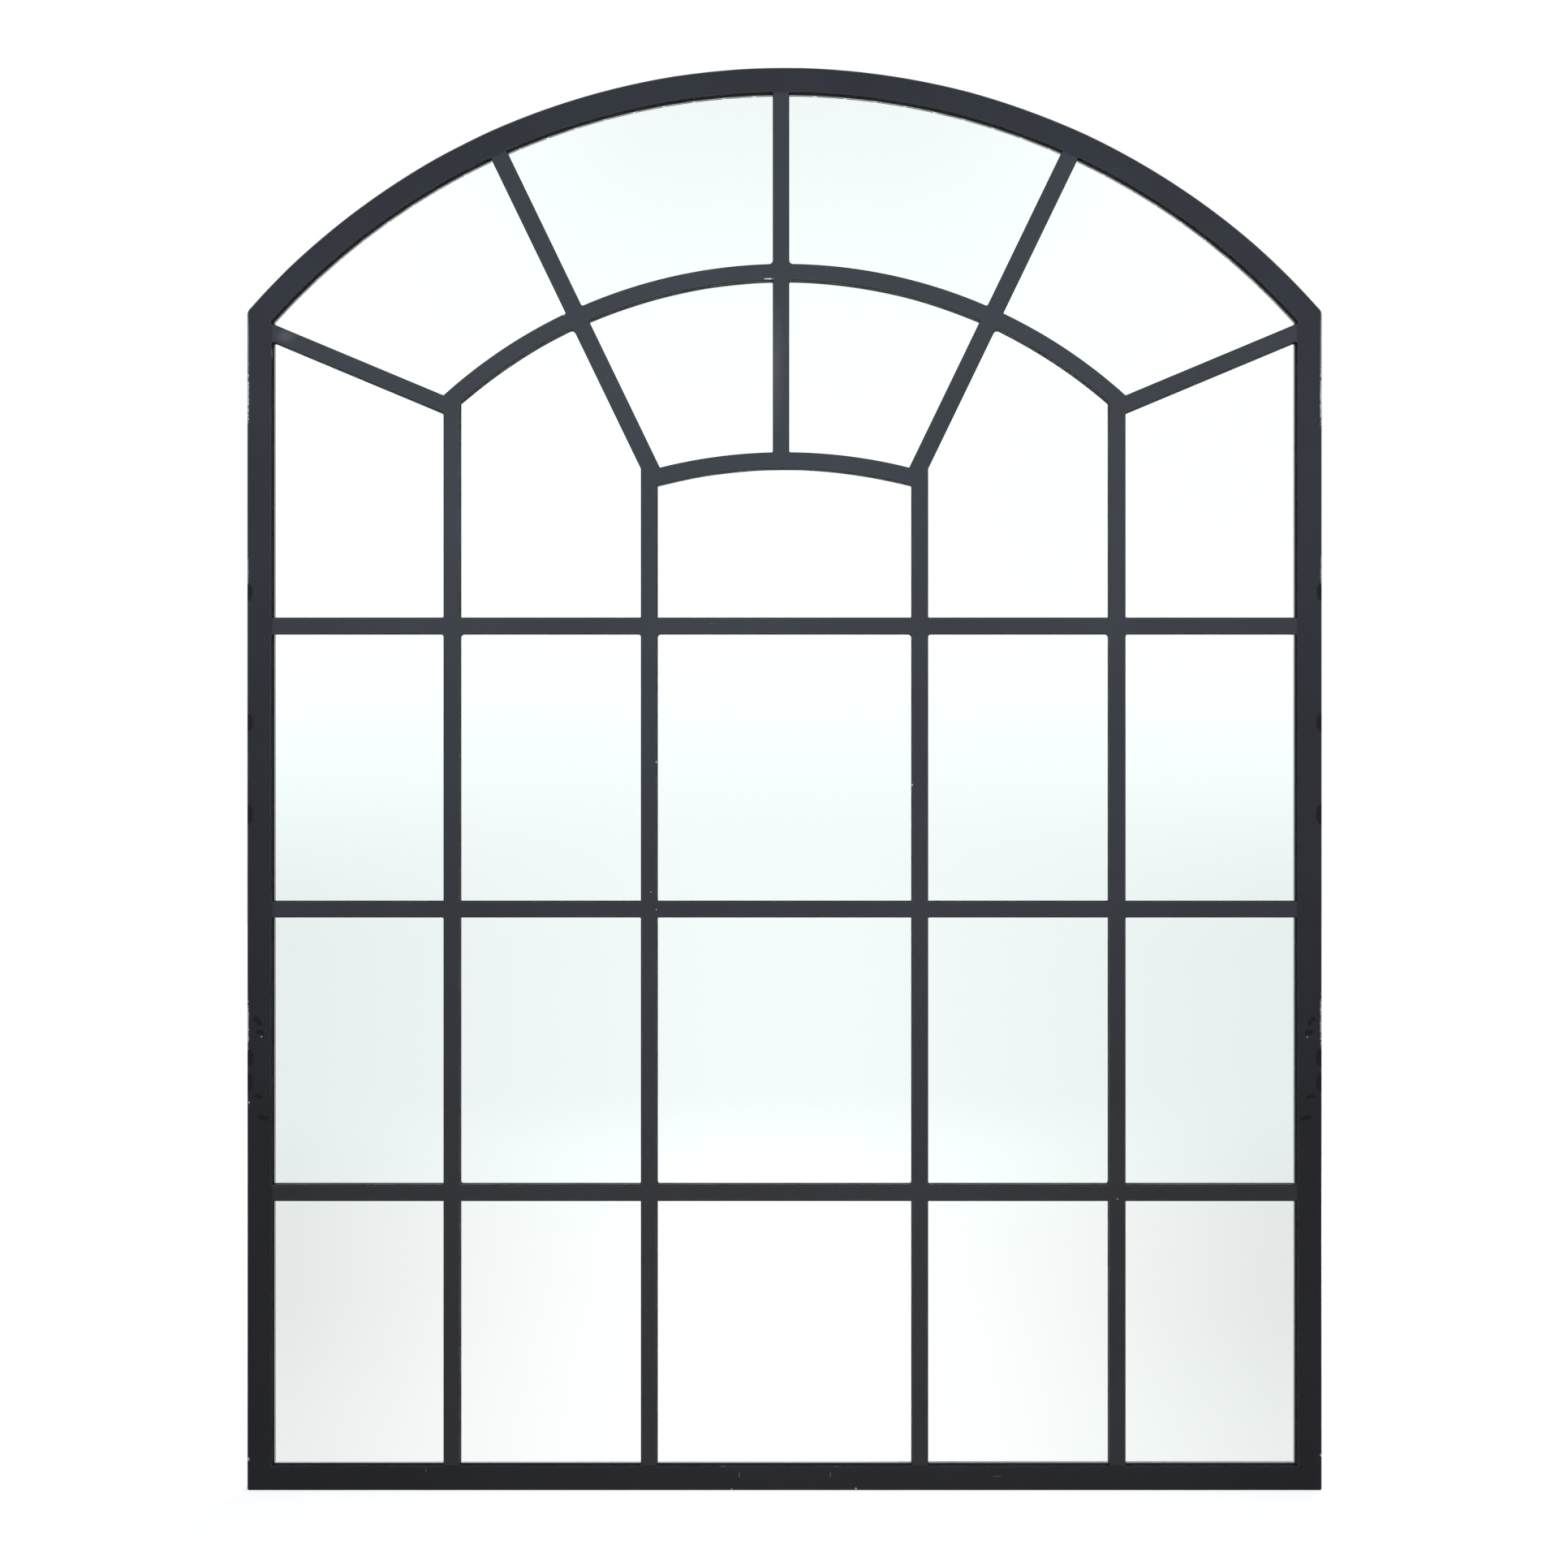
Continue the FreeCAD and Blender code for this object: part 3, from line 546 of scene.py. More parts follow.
    def head_panes(self) -> list[Outline]:
        """The five panes between the upper row of crossbars and the bars above it."""
        under_outer = Arc(self.outer_fan_centre, self.outer_fan_radius - self.bar_face, True)
        under_inner = Arc(self.inner_fan_centre, self.inner_fan_radius - self.bar_face, True)
        side = self.standing(0, (self.shoulder_lines()[1],), (Weld.FULL, Weld.ROUND))
        beside = self.standing(1, (self.fan_lines()[0], under_outer), (Weld.SMALL, Weld.LARGE, Weld.SHARP))
        middle = self.standing(2, (under_inner,), (Weld.SHARP, Weld.SHARP))
        return [side, side.flipped(), beside, beside.flipped(), middle]

    def fan_panes(self) -> list[Outline]:
        """The four panes beside the centre bars and the two under the border's shoulders."""
        outer, inner = self.fan_lines()
        upper = (Arc(self.outer_fan_centre, self.outer_fan_radius, False),
                 Arc(self.arch_centre, self.arch_radius - self.border_face, True))
        lower = (Arc(self.inner_fan_centre, self.inner_fan_radius, False),
                 Arc(self.outer_fan_centre, self.outer_fan_radius - self.bar_face, True))
        panes = []
        for (bottom, top), welds in (
            (upper, (Weld.ROUND, Weld.LARGE, Weld.SHARP, Weld.SHARP)),
            (lower, (Weld.SHARP, Weld.SMALL, Weld.SMALL, Weld.SHARP)),
        ):
            floor = bottom.centre + bottom.radius
            for centre_bar, flip in ((self.centre_bar, False), (-self.centre_bar, True)):
                pane = Outline((bottom, rising(centre_bar - self.half_bar, floor), top, inner), welds)
                panes.append(pane.flipped() if flip else pane)
        corner = Outline(
            (self.shoulder_lines()[0], upper[0], outer, upper[1]),
            (Weld.ROUND, Weld.SHARP, Weld.SMALL, Weld.SHARP),
        )
        return panes + [corner, corner.flipped()]

    def on_circle(self, line: Line, centre: float, radius: float, away: float) -> Cut:
        """A cut square to the spoke where a bar's middle line meets an arched edge.

        Args:
            line: the bar's middle line.
            centre: height of the arch's centre.
            radius: radius of the edge.
            away: how far from the edge the cut lies, positive on its outer side.

        Returns:
            The cut.
        """
        x, z = meeting(line, Arc(centre, radius, True))
        length = math.hypot(x, z - centre)
        spoke = (x / length, (z - centre) / length)
        reach = self.fan_bar_face / 2 + self.cut_margin
        return Cut((x + spoke[0] * away, z + spoke[1] * away), spoke, reach)

    def cuts(self) -> list[Cut]:
        """The planes that part the bars from each other and from the border."""
        across_bar = self.half_bar + self.cut_margin
        gap = self.weld_gap
        cuts = [
            Cut((-upright, self.border_face + gap), (0, 1), across_bar)
            for upright in (self.outer_mullion, self.inner_mullion)
        ]
        for row in self.rows:
            for left, right in self.columns()[:3]:
                ends = (left + gap, right - gap)
                cuts += [Cut((end, row), (1, 0), across_bar) for end in ends if end < 0]
        near = self.outer_fan_corner()
        far_height = self.shoulder_bar_top - self.half_bar - self.shoulder_cut_drop
        cuts.append(Cut((near[0] - gap, near[1] - self.half_bar), (1, 0), across_bar))
        cuts.append(Cut((-self.inner_x + gap, far_height), (1, 0), across_bar))

        over_outer = (self.outer_fan_centre, self.outer_fan_radius)
        under_outer = (self.outer_fan_centre, self.outer_fan_radius - self.bar_face)
        over_inner = (self.inner_fan_centre, self.inner_fan_radius)
        under_inner = (self.inner_fan_centre, self.inner_fan_radius - self.bar_face)
        under_head = (self.arch_centre, self.arch_radius - self.border_face)
        cuts.append(self.on_circle(rising(-self.outer_mullion, 0), *under_outer, -gap))
        cuts.append(self.on_circle(rising(-self.inner_mullion, 0), *under_inner, -gap))
        outer, inner = self.fan_lines()
        middle = Line(*(
            ((first[0] + second[0]) / 2, (first[1] + second[1]) / 2)
            for first, second in ((outer.start, inner.end), (outer.end, inner.start))))
        spans = ((over_inner, gap), (under_outer, -gap), (over_outer, gap), (under_head, -gap))
        cuts += [self.on_circle(middle, *arch, away) for arch, away in spans]
        cuts += [cut.flipped() for cut in cuts]
        post = rising(self.centre_bar, 0)
        return cuts + [self.on_circle(post, *arch, away) for arch, away in spans]

    def mitres(self) -> list[Cut]:
        """The planes that part the four tubes of the border."""
        cuts = []
        for inset_corner, outer_corner in (
            ((-self.inner_x, self.border_face), (-self.half_width, 0.0)),
            ((-self.inner_x, self.shoulder(self.border_face)), (-self.half_width, self.shoulder(0.0))),
        ):
            along = (inset_corner[0] - outer_corner[0], inset_corner[1] - outer_corner[1])
            length = math.hypot(*along)
            centre = ((inset_corner[0] + outer_corner[0]) / 2, (inset_corner[1] + outer_corner[1]) / 2)
            cut = Cut(centre, (along[1] / length, -along[0] / length), length / 2 + self.mitre_margin)
            cuts += [cut, cut.flipped()]
        return cuts

    def dent(self, angle: float) -> float:
        """How far the rolled tube lies inside its circle: slight flats between the places where it was bent.

        Args:
            angle: degrees from the crown, positive to the right.

        Returns:
            Millimetres, negative inwards.
        """
        for low, high in zip(self.bends, self.bends[1:]):
            if low <= angle <= high:
                share = (angle - low) / (high - low)
                return -self.flatness * math.sqrt(high - low) * share * (1 - share)
        return 0.0

    def build(self, dress: "Dresser") -> None:
        """Build the tubes and bars, each its own piece in place of its CAD node.

        Args:
            dress: gives each piece its body, slot and finish.
        """
        outside = self.arched(0.0, Weld.ROUND, Weld.BENT)
        inside = self.arched(self.border_face, Weld.SHARP, Weld.SHARP)
        panes = self.row_panes() + self.head_panes() + self.fan_panes()
        skin = Plate(
            outside, panes, self.front, self.bar_depth, self.tube_round, self.bar_round,
            dents=self.dent).build()
        for cut in self.mitres() + self.cuts():
            cut.apply(skin)
        tube = Plate(
            outside, [inside], self.front, self.tube_depth - self.bar_depth, self.tube_round, self.tube_round,
            dents=self.dent).build()
        bmesh.ops.scale(tube, vec=(1, -1, 1), verts=tube.verts)
        bmesh.ops.recalc_face_normals(tube, faces=tube.faces)
        for cut in self.mitres():
            cut.apply(tube)

        names = [name for name in frame["nodes"] if frame_piece(name)]
        tubes = [name for name in names if name.endswith(TUBES)]
        matched = match_to_nodes(part_at_seams(skin), names)
        for part in part_at_seams(tube):
            box = corners(part)
            merge(matched[min(tubes, key=lambda name: apart(box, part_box(name)))], part)
        for name, part in matched.items():
            # the tubes take a darker copy of the paint: painted shade
            dress.piece(part, name, "charcoal_paint", finish="shaded_tube_paint" if name in tubes else "")


@dataclass
class MirrorSheet:
    """The float glass and the silver on its back."""

    frame: Frame
    silver: float = 0.1
    air: float = 0.05
    edge_round: float = 0.4
    silver_round: float = 0.03

    def build(self, dress: "Dresser") -> None:
        """Build the glass and the silver in place of the mirror's CAD node.

        Args:
            dress: gives each piece its body, slot and finish.
        """
        low, high = ([value / MM for value in corner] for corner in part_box("mirror_sheet"))
        outline = self.frame.arched(self.frame.half_width - high[0], Weld.SHARP, Weld.SHARP)
        clear = high[1] - low[1] - self.silver - self.air
        glass = Plate(outline, [], low[1], clear, self.edge_round, self.edge_round).build()
        dress.piece(glass, "mirror_glass", "mirror_silver", "mirror_sheet", finish="clear_glass")
        silver = Plate(
            outline, [], high[1] - self.silver, self.silver, self.silver_round, self.silver_round).build()
        dress.piece(silver, "mirror_silvering", "mirror_silver", "mirror_sheet")


@dataclass
class Fittings:
    """The board, clips, screws, hangers and bumpers of the wall side, their edges eased."""

    clip_edge: float = 0.3
    strap_edge: float = 0.3
    board_edge: float = 0.5
    bumper_edge: float = 0.4
    edge_steps: int = 2
    head_round: float = 1.3
    head_reach: float = 3.4
    head_steps: int = 4

    def build(self, dress: "Dresser") -> None:
        """Build each fitting in place of its CAD node.

        Args:
            dress: gives each piece its body, slot and finish.
        """
        dress.piece(self.eased("backing_board", self.board_edge), "backing_board", "hardboard")
        dress.piece(self.eased("board_clips", self.clip_edge), "board_clips", "zinc_plate")
        for name in ("clip_screws", "hanger_screws"):
            dress.piece(self.domed(name), name, "zinc_plate", finish="screw_zinc")
        for side in ("left", "right"):
            strap = f"hanger_strap_{side}"
            ring = f"hanger_ring_{side}"
            bumper = f"wall_bumper_{side}"
            dress.piece(self.eased(strap, self.strap_edge), strap, "zinc_plate")
            dress.piece(self.merged(ring), ring, "zinc_plate", body=f"{side}_ring", finish="wire_zinc")
            dress.piece(self.eased(bumper, self.bumper_edge), bumper, "black_rubber")

    def merged(self, name: str) -> BMesh:
        """A copy of a CAD node's mesh, its loose triangles joined.

        Args:
            name: the node.

        Returns:
            The mesh.
        """
        mesh = bmesh.new()
        mesh.from_mesh(frame["nodes"][name].data)
        bmesh.ops.remove_doubles(mesh, verts=mesh.verts, dist=NEAR)
        bmesh.ops.recalc_face_normals(mesh, faces=mesh.faces)
        return mesh

    def ease(self, mesh: BMesh, edges: list[BMEdge], width: float, segments: int) -> None:
        """Round edges.

        Args:
            mesh: the mesh.
            edges: its edges to round.
            width: how far the rounding reaches, in millimetres.
            segments: how many faces it has across.
        """
        bmesh.ops.bevel(
            mesh, geom=edges, offset=width * MM, offset_type="OFFSET", affect="EDGES", segments=segments,
            profile=0.5, material=-1, clamp_overlap=True)

    def sharp(self, mesh: BMesh) -> list[BMEdge]:
        """The edges of a mesh that turn sharply."""
        return [edge for edge in mesh.edges if edge.is_manifold and edge.calc_face_angle(0.0) > CORNER]

    def eased(self, name: str, width: float) -> BMesh:
        """A copy of a CAD node with rounded edges.

        Args:
            name: the node.
            width: how far the rounding reaches, in millimetres.

        Returns:
            The mesh.
        """
        mesh = self.merged(name)
        bmesh.ops.dissolve_limit(mesh, angle_limit=STRAIGHT, verts=mesh.verts, edges=mesh.edges)
        self.ease(mesh, self.sharp(mesh), width, self.edge_steps)
        return mesh

    def domed(self, name: str) -> BMesh:
        """A copy of a node of pan-head screws, each head's rim rounded.

        Args:
            name: the node.

        Returns:
            The mesh.
        """
        whole = bmesh.new()
        for screw in part_at_seams(self.merged(name)):
            bmesh.ops.dissolve_limit(screw, angle_limit=STRAIGHT, verts=screw.verts, edges=screw.edges)
            low, high = corners(screw)
            axis = (low + high) / 2

            def on_rim(vert: BMVert) -> bool:
                """Whether a vertex lies on the rim of the head's front."""
                reach = math.hypot(vert.co.x - axis.x, vert.co.z - axis.z)
                return reach > self.head_reach * MM and vert.co.y > high.y - NEAR

            rim = [edge for edge in self.sharp(screw) if all(on_rim(vert) for vert in edge.verts)]
            self.ease(screw, rim, self.head_round, self.head_steps)
            merge(whole, screw)
        return whole


def frame_piece(name: str) -> bool:
    """Whether a CAD node is a tube or bar of the frame."""
    return name.endswith(TUBES + ("_arch",)) or "_bar" in name or "mullion" in name


def corners(mesh: BMesh) -> tuple[Vector, Vector]:
    """The lowest and the highest corner of a mesh."""
    low, high = (Vector(end(vert.co[axis] for vert in mesh.verts) for axis in range(3)) for end in (min, max))
    return low, high


def apart(first: Sequence[Sequence[float]], second: Sequence[Sequence[float]]) -> float:
    """How much two boxes differ in x and z, over both corners."""
    return sum(abs(first[end][axis] - second[end][axis]) for end in (0, 1) for axis in (0, 2))


def part_at_seams(mesh: BMesh) -> list[BMesh]:
    """Part a mesh at its seam edges and close the ends.

    Args:
        mesh: the mesh, used up by this.

    Returns:
        One closed mesh per part.
    """
    bmesh.ops.split_edges(mesh, edges=[edge for edge in mesh.edges if edge.seam])
    number = mesh.faces.layers.int.new("part")
    count = 0
    for face in mesh.faces:
        if face[number]:
            continue
        count += 1
        face[number] = count
        waiting = [face]
        while waiting:
            for edge in waiting.pop().edges:
                for other in edge.link_faces:
                    if not other[number]:
                        other[number] = count
                        waiting.append(other)
    parts = []
    for index in range(1, count + 1):
        part = mesh.copy()
        layer = part.faces.layers.int["part"]
        bmesh.ops.delete(part, geom=[face for face in part.faces if face[layer] != index], context="FACES")
        loose = [vert for vert in part.verts if not vert.link_faces]
        bmesh.ops.delete(part, geom=loose, context="VERTS")
        bmesh.ops.holes_fill(part, edges=[edge for edge in part.edges if edge.is_boundary], sides=0)
        part.faces.layers.int.remove(part.faces.layers.int["part"])
        bmesh.ops.recalc_face_normals(part, faces=part.faces)
        parts.append(part)
    mesh.free()
    return parts


def match_to_nodes(parts: Sequence[BMesh], names: Sequence[str]) -> dict[str, BMesh]:
    """Find which CAD node each part stands for.

    Args:
        parts: the parts.
        names: the CAD nodes.

    Returns:
        The part of each node.
    """
    matched: dict[str, BMesh] = {}
    for part in parts:
        box = corners(part)
        name = min(names, key=lambda node: apart(box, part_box(node)))
        difference = apart(box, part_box(name)) / MM
        if name in matched or difference > FIT:
            raise RuntimeError(f"a part of the frame fits no node: {name}, {difference:.1f} mm")
        matched[name] = part
    if len(matched) != len(names):
        raise RuntimeError(f"nodes without a part: {sorted(set(names) - set(matched))}")
    return matched


def merge(target: BMesh, other: BMesh) -> None:
    """Add one mesh to another.

    Args:
        target: the mesh that grows.
        other: the mesh that is added and freed.
    """
    carrier = bpy.data.meshes.new("carrier")
    other.to_mesh(carrier)
    target.from_mesh(carrier)
    bpy.data.meshes.remove(carrier)
    other.free()


# Finishes ----------------------------------------------------------------------------------------

Socket = bpy.types.NodeSocket
Colour = tuple[float, float, float]
FLOAT = "NodeSocketFloat"
VECTOR = "NodeSocketVector"
COLOUR = "NodeSocketColor"
ORIGIN = (0.0, 0.0, 0.0)
WHITE = (1.0, 1.0, 1.0, 1.0)


def opaque(colour: Colour) -> tuple[float, float, float, float]:
    """A colour with full alpha."""
    return (*colour, 1.0)


class Tree:
    """A node tree that is written from its sources to its sinks."""

    def __init__(self, tree: bpy.types.NodeTree) -> None:
        """Take over a node tree and empty it."""
        self.tree = tree
        self.tree.nodes.clear()

    def feed(self, given: object, sink: Socket) -> None:
        """Link a socket to an input, or set the input to a value."""
        if isinstance(given, bpy.types.NodeSocket):
            self.tree.links.new(given, sink)
        else:
            sink.default_value = given

    def node(
            self, kind: str, inputs: Mapping[str | int, object] | None = None,
            **settings: object) -> bpy.types.Node:
        """Add a node.

        Args:
            kind: its type.
            inputs: values or sockets for its inputs, by name or number.
            settings: its own properties.

        Returns:
            The node.
        """
        node = self.tree.nodes.new(kind)
        for name, setting in settings.items():
            setattr(node, name, setting)
        for name, given in (inputs or {}).items():
            self.feed(given, node.inputs[name])
        return node

    def group(self, tree: bpy.types.NodeTree, **inputs: object) -> Socket:
        """The output of a node group, its inputs given by name."""
        return self.node("ShaderNodeGroup", inputs, node_tree=tree).outputs[0]

    def coordinates(self, kind: str = "Object") -> Socket:
        """Where on an object a point lies, or another of the object's coordinates."""
        return self.node("ShaderNodeTexCoord").outputs[kind]

    def parts(self, vector: Socket) -> Sequence[Socket]:
        """The x, y and z of a vector."""
        return self.node("ShaderNodeSeparateXYZ", {0: vector}).outputs

    def noise(self, place: Socket, scale: object, detail: object, **inputs: object) -> Socket:
        """A noise mask."""
        inputs = {"Vector": place, "Scale": scale, "Detail": detail, **inputs}
        return self.node("ShaderNodeTexNoise", inputs).outputs["Fac"]

    def ramp(
            self, level: object, start: object, end: object, low: float = 0.0, high: float = 1.0,
            **settings: object) -> Socket:
        """Map start..end to low..high."""
        inputs = {0: level, 1: start, 2: end, 3: low, 4: high}
        return self.node("ShaderNodeMapRange", inputs, **settings).outputs[0]

    def spread(self, mask: Socket, low: float, high: float) -> Socket:
        """Map a mask from 0..1 to low..high."""
        return self.ramp(mask, 0.0, 1.0, low, high)

    def math(self, operation: str, *values: object) -> Socket:
        """One step of arithmetic."""
        return self.node("ShaderNodeMath", dict(enumerate(values)), operation=operation).outputs[0]

    def vector_math(self, operation: str, *values: object) -> bpy.types.Node:
        """One step of arithmetic on vectors."""
        return self.node("ShaderNodeVectorMath", dict(enumerate(values)), operation=operation)

    def mix(self, amount: object, low: object, high: object) -> Socket:
        """Mix two colours by an amount."""
        return self.node("ShaderNodeMix", {0: amount, 6: low, 7: high}, data_type="RGBA").outputs[2]

    def mix_numbers(self, amount: object, low: object, high: object) -> Socket:
        """Mix two numbers by an amount."""
        return self.node("ShaderNodeMix", {0: amount, 2: low, 3: high}, data_type="FLOAT").outputs[0]

    def coat(self, under: Socket, mask: Socket, colour: Colour, share: float = 1.0) -> Socket:
        """Lay a colour over another one where a mask says, up to a share."""
        amount = mask if share == 1.0 else self.spread(mask, 0.0, share)
        return self.mix(amount, under, opaque(colour))


def new_group(
        name: str, inputs: Mapping[str, object], output: str,
        kind: str = FLOAT) -> tuple[Tree, Mapping[str, Socket], Socket]:
    """Start a node group.

    Args:
        name: its name.
        inputs: the default of each input, a number or a vector.
        output: the name of its output.
        kind: the output's socket type.

    Returns:
        The tree, the outputs of its input node and the input of its output node.
    """
    tree = bpy.data.node_groups.new(name, "ShaderNodeTree")
    for label, default in inputs.items():
        given_kind = VECTOR if isinstance(default, tuple) else FLOAT
        socket = tree.interface.new_socket(label, in_out="INPUT", socket_type=given_kind)
        socket.default_value = default
    tree.interface.new_socket(output, in_out="OUTPUT", socket_type=kind)
    holder = Tree(tree)
    start = holder.node("NodeGroupInput")
    end = holder.node("NodeGroupOutput")
    return holder, start.outputs, end.inputs[0]


def mottle_group(roughness: float = 0.55) -> bpy.types.NodeTree:
    """Soft patches: a noise mask with adjustable size and contrast."""
    tree, given, mask = new_group(
        "Mottle", {"Vector": ORIGIN, "Scale": 10.0, "Detail": 3.0, "Low": 0.35, "High": 0.65}, "Mask")
    noise = tree.noise(given["Vector"], given["Scale"], given["Detail"], Roughness=roughness)
    tree.feed(tree.ramp(noise, given["Low"], given["High"]), mask)
    return tree.tree


def grain_group(detail: float = 2.0) -> bpy.types.NodeTree:
    """Fine height variation of a surface, from two sizes of noise."""
    tree, given, height = new_group(
        "Grain", {"Vector": ORIGIN, "Fine": 900.0, "Coarse": 60.0, "Balance": 0.5}, "Height")
    fine, coarse = (tree.noise(given["Vector"], given[size], detail) for size in ("Fine", "Coarse"))
    tree.feed(tree.mix_numbers(given["Balance"], fine, coarse), height)
    return tree.tree


def wear_group(detail: float = 4.0, start: float = 0.75, end: float = 0.8) -> bpy.types.NodeTree:
    """Where a rounded edge has lost or thinned its coat."""
    tree, given, mask = new_group(
        "Edge wear", {"Vector": ORIGIN, "Edge": 0.0, "Scale": 90.0, "Amount": 0.4}, "Mask")
    noise = tree.noise(given["Vector"], given["Scale"], detail)
    worn = tree.ramp(noise, tree.math("SUBTRACT", start, given["Amount"]), end)
    tree.feed(tree.math("MULTIPLY", worn, given["Edge"]), mask)
    return tree.tree


def spot_group(scale: float = 700.0, detail: float = 3.0, middle: float = 0.5) -> bpy.types.NodeTree:
    """A mark around a point, with a ragged outline."""
    tree, given, mask = new_group(
        "Spot",
        {"Vector": ORIGIN, "Centre": ORIGIN, "Size": (1.0, 1.0, 1.0), "Softness": 0.5, "Ragged": 0.3},
        "Mask")
    shift = tree.vector_math("SUBTRACT", given["Vector"], given["Centre"]).outputs[0]
    scaled = tree.vector_math("DIVIDE", shift, given["Size"]).outputs[0]
    length = tree.vector_math("LENGTH", scaled).outputs["Value"]
    noise = tree.noise(given["Vector"], scale, detail)
    ragged = tree.math("MULTIPLY", tree.math("SUBTRACT", noise, middle), given["Ragged"])
    reach = tree.math("ADD", length, ragged)
    outside = tree.math("ADD", 1.0, given["Softness"])
    inside = tree.math("SUBTRACT", 1.0, given["Softness"])
    tree.feed(tree.ramp(reach, outside, inside), mask)
    return tree.tree


@dataclass(frozen=True)
class Patches:
    """Soft patches of a finish: the size and detail of their noise, and their contrast."""

    scale: float
    detail: float
    low: float = 0.3
    high: float = 0.7


@dataclass(frozen=True)
class Grain:
    """A fine relief: its two noise sizes, the share of the coarse one, its strength and depth in metres."""

    fine: float
    coarse: float
    balance: float
    strength: float
    depth: float = 0.0003


class Effects:
    """The node groups that finishes share."""

    def __init__(self) -> None:
        """Build each group once."""
        self.mottle = mottle_group()
        self.grain = grain_group()
        self.wear = wear_group()
        self.spot = spot_group()

    def patches(self, tree: Tree, place: Socket, look: Patches) -> Socket:
        """A mask of soft patches."""
        return tree.group(
            self.mottle, Vector=place, Scale=look.scale, Detail=look.detail, Low=look.low, High=look.high)


class Finish:
    """What the finishes share: a material with one Principled BSDF."""

    name: str

    def start(self) -> tuple[bpy.types.Material, Tree, bpy.types.Node, Socket]:
        """Start the material.

        Returns:
            The material, its tree, its shader and its Object coordinates.
        """
        material = bpy.data.materials.new(self.name)
        material.use_nodes = True
        tree = Tree(material.node_tree)
        shader = tree.node("ShaderNodeBsdfPrincipled")
        tree.node("ShaderNodeOutputMaterial", {"Surface": shader.outputs[0]})
        return material, tree, shader, tree.coordinates()

    def emboss(
            self, tree: Tree, shader: bpy.types.Node, effects: Effects, place: Socket,
            grain: Grain) -> None:
        """Feed a grain to the shader's normal.

        Args:
            tree: the material's tree.
            shader: the shader.
            effects: the shared node groups.
            place: the coordinates that the grain follows.
            grain: the grain.
        """
        height = tree.group(
            effects.grain, Vector=place, Fine=grain.fine, Coarse=grain.coarse, Balance=grain.balance)
        bump = tree.node(
            "ShaderNodeBump", {"Height": height, "Strength": grain.strength, "Distance": grain.depth})
        tree.feed(bump.outputs[0], shader.inputs["Normal"])


@dataclass(frozen=True)
class Mark:
    """A mark on the paint at one place of the front."""

    x: float
    z: float
    width: float
    height: float
    colour: Colour
    softness: float = 0.15
    ragged: float = 0.6
    depth: float = 3.0
    y: float = -11.0

    def flipped(self) -> "Mark":
        """The same mark on the other side of the middle plane."""
        return replace(self, x=-self.x)

    def mask(self, tree: Tree, effects: Effects, place: Socket) -> Socket:
        """Where the mark is."""
        centre = (self.x * MM, self.y * MM, self.z * MM)
        size = (self.width / 2 * MM, self.depth * MM, self.height / 2 * MM)
        return tree.group(
            effects.spot, Vector=place, Centre=centre, Size=size, Softness=self.softness, Ragged=self.ragged)


CHIP: Colour = (0.72, 0.73, 0.75)
# light grey of worn steel, also used for a painted highlight line down the outer edge
HIGHLIGHT_AND_RUBBED_STEEL: Colour = (0.40, 0.42, 0.45)
SCRATCH: Colour = (0.12, 0.125, 0.14)
SMUDGE: Colour = (0.0105, 0.0105, 0.0125)
TOUCHED: Colour = (0.0125, 0.013, 0.016)

BORDER_MARKS: tuple[Mark, ...] = (
    Mark(-409.5, 1062.0, 3.4, 2.0, CHIP),
    Mark(-252.0, 1129.0, 3.0, 1.6, CHIP),
    Mark(-435.9, 967.5, 1.2, 7.0, SCRATCH, ragged=3.0),
    Mark(-455.8, 26.6, 1.4, 3.2, CHIP),
    Mark(-455.3, 330.0, 1.0, 1.8, CHIP),
    Mark(-444.8, 386.0, 0.9, 1.3, CHIP),
    Mark(444.6, 385.6, 0.8, 1.2, CHIP),
    Mark(456.4, 413.6, 1.0, 1.8, CHIP),
    Mark(456.0, 30.0, 1.2, 2.2, CHIP),
    Mark(60.7, 1.6, 1.4, 1.4, CHIP),
    Mark(-45.0, 1.2, 1.2, 1.0, CHIP),
    Mark(-38.4, 13.4, 0.8, 4.6, SCRATCH),
    Mark(39.0, 13.4, 0.8, 4.6, SCRATCH),
    Mark(181.0, 12.0, 7.0, 0.5, SCRATCH, ragged=1.5),
    Mark(-305.0, 17.0, 0.6, 4.0, SCRATCH),
    Mark(-52.0, 20.4, 5.0, 0.6, SCRATCH, ragged=2.0),
    Mark(44.0, 20.5, 4.0, 0.6, SCRATCH, ragged=2.0),
)
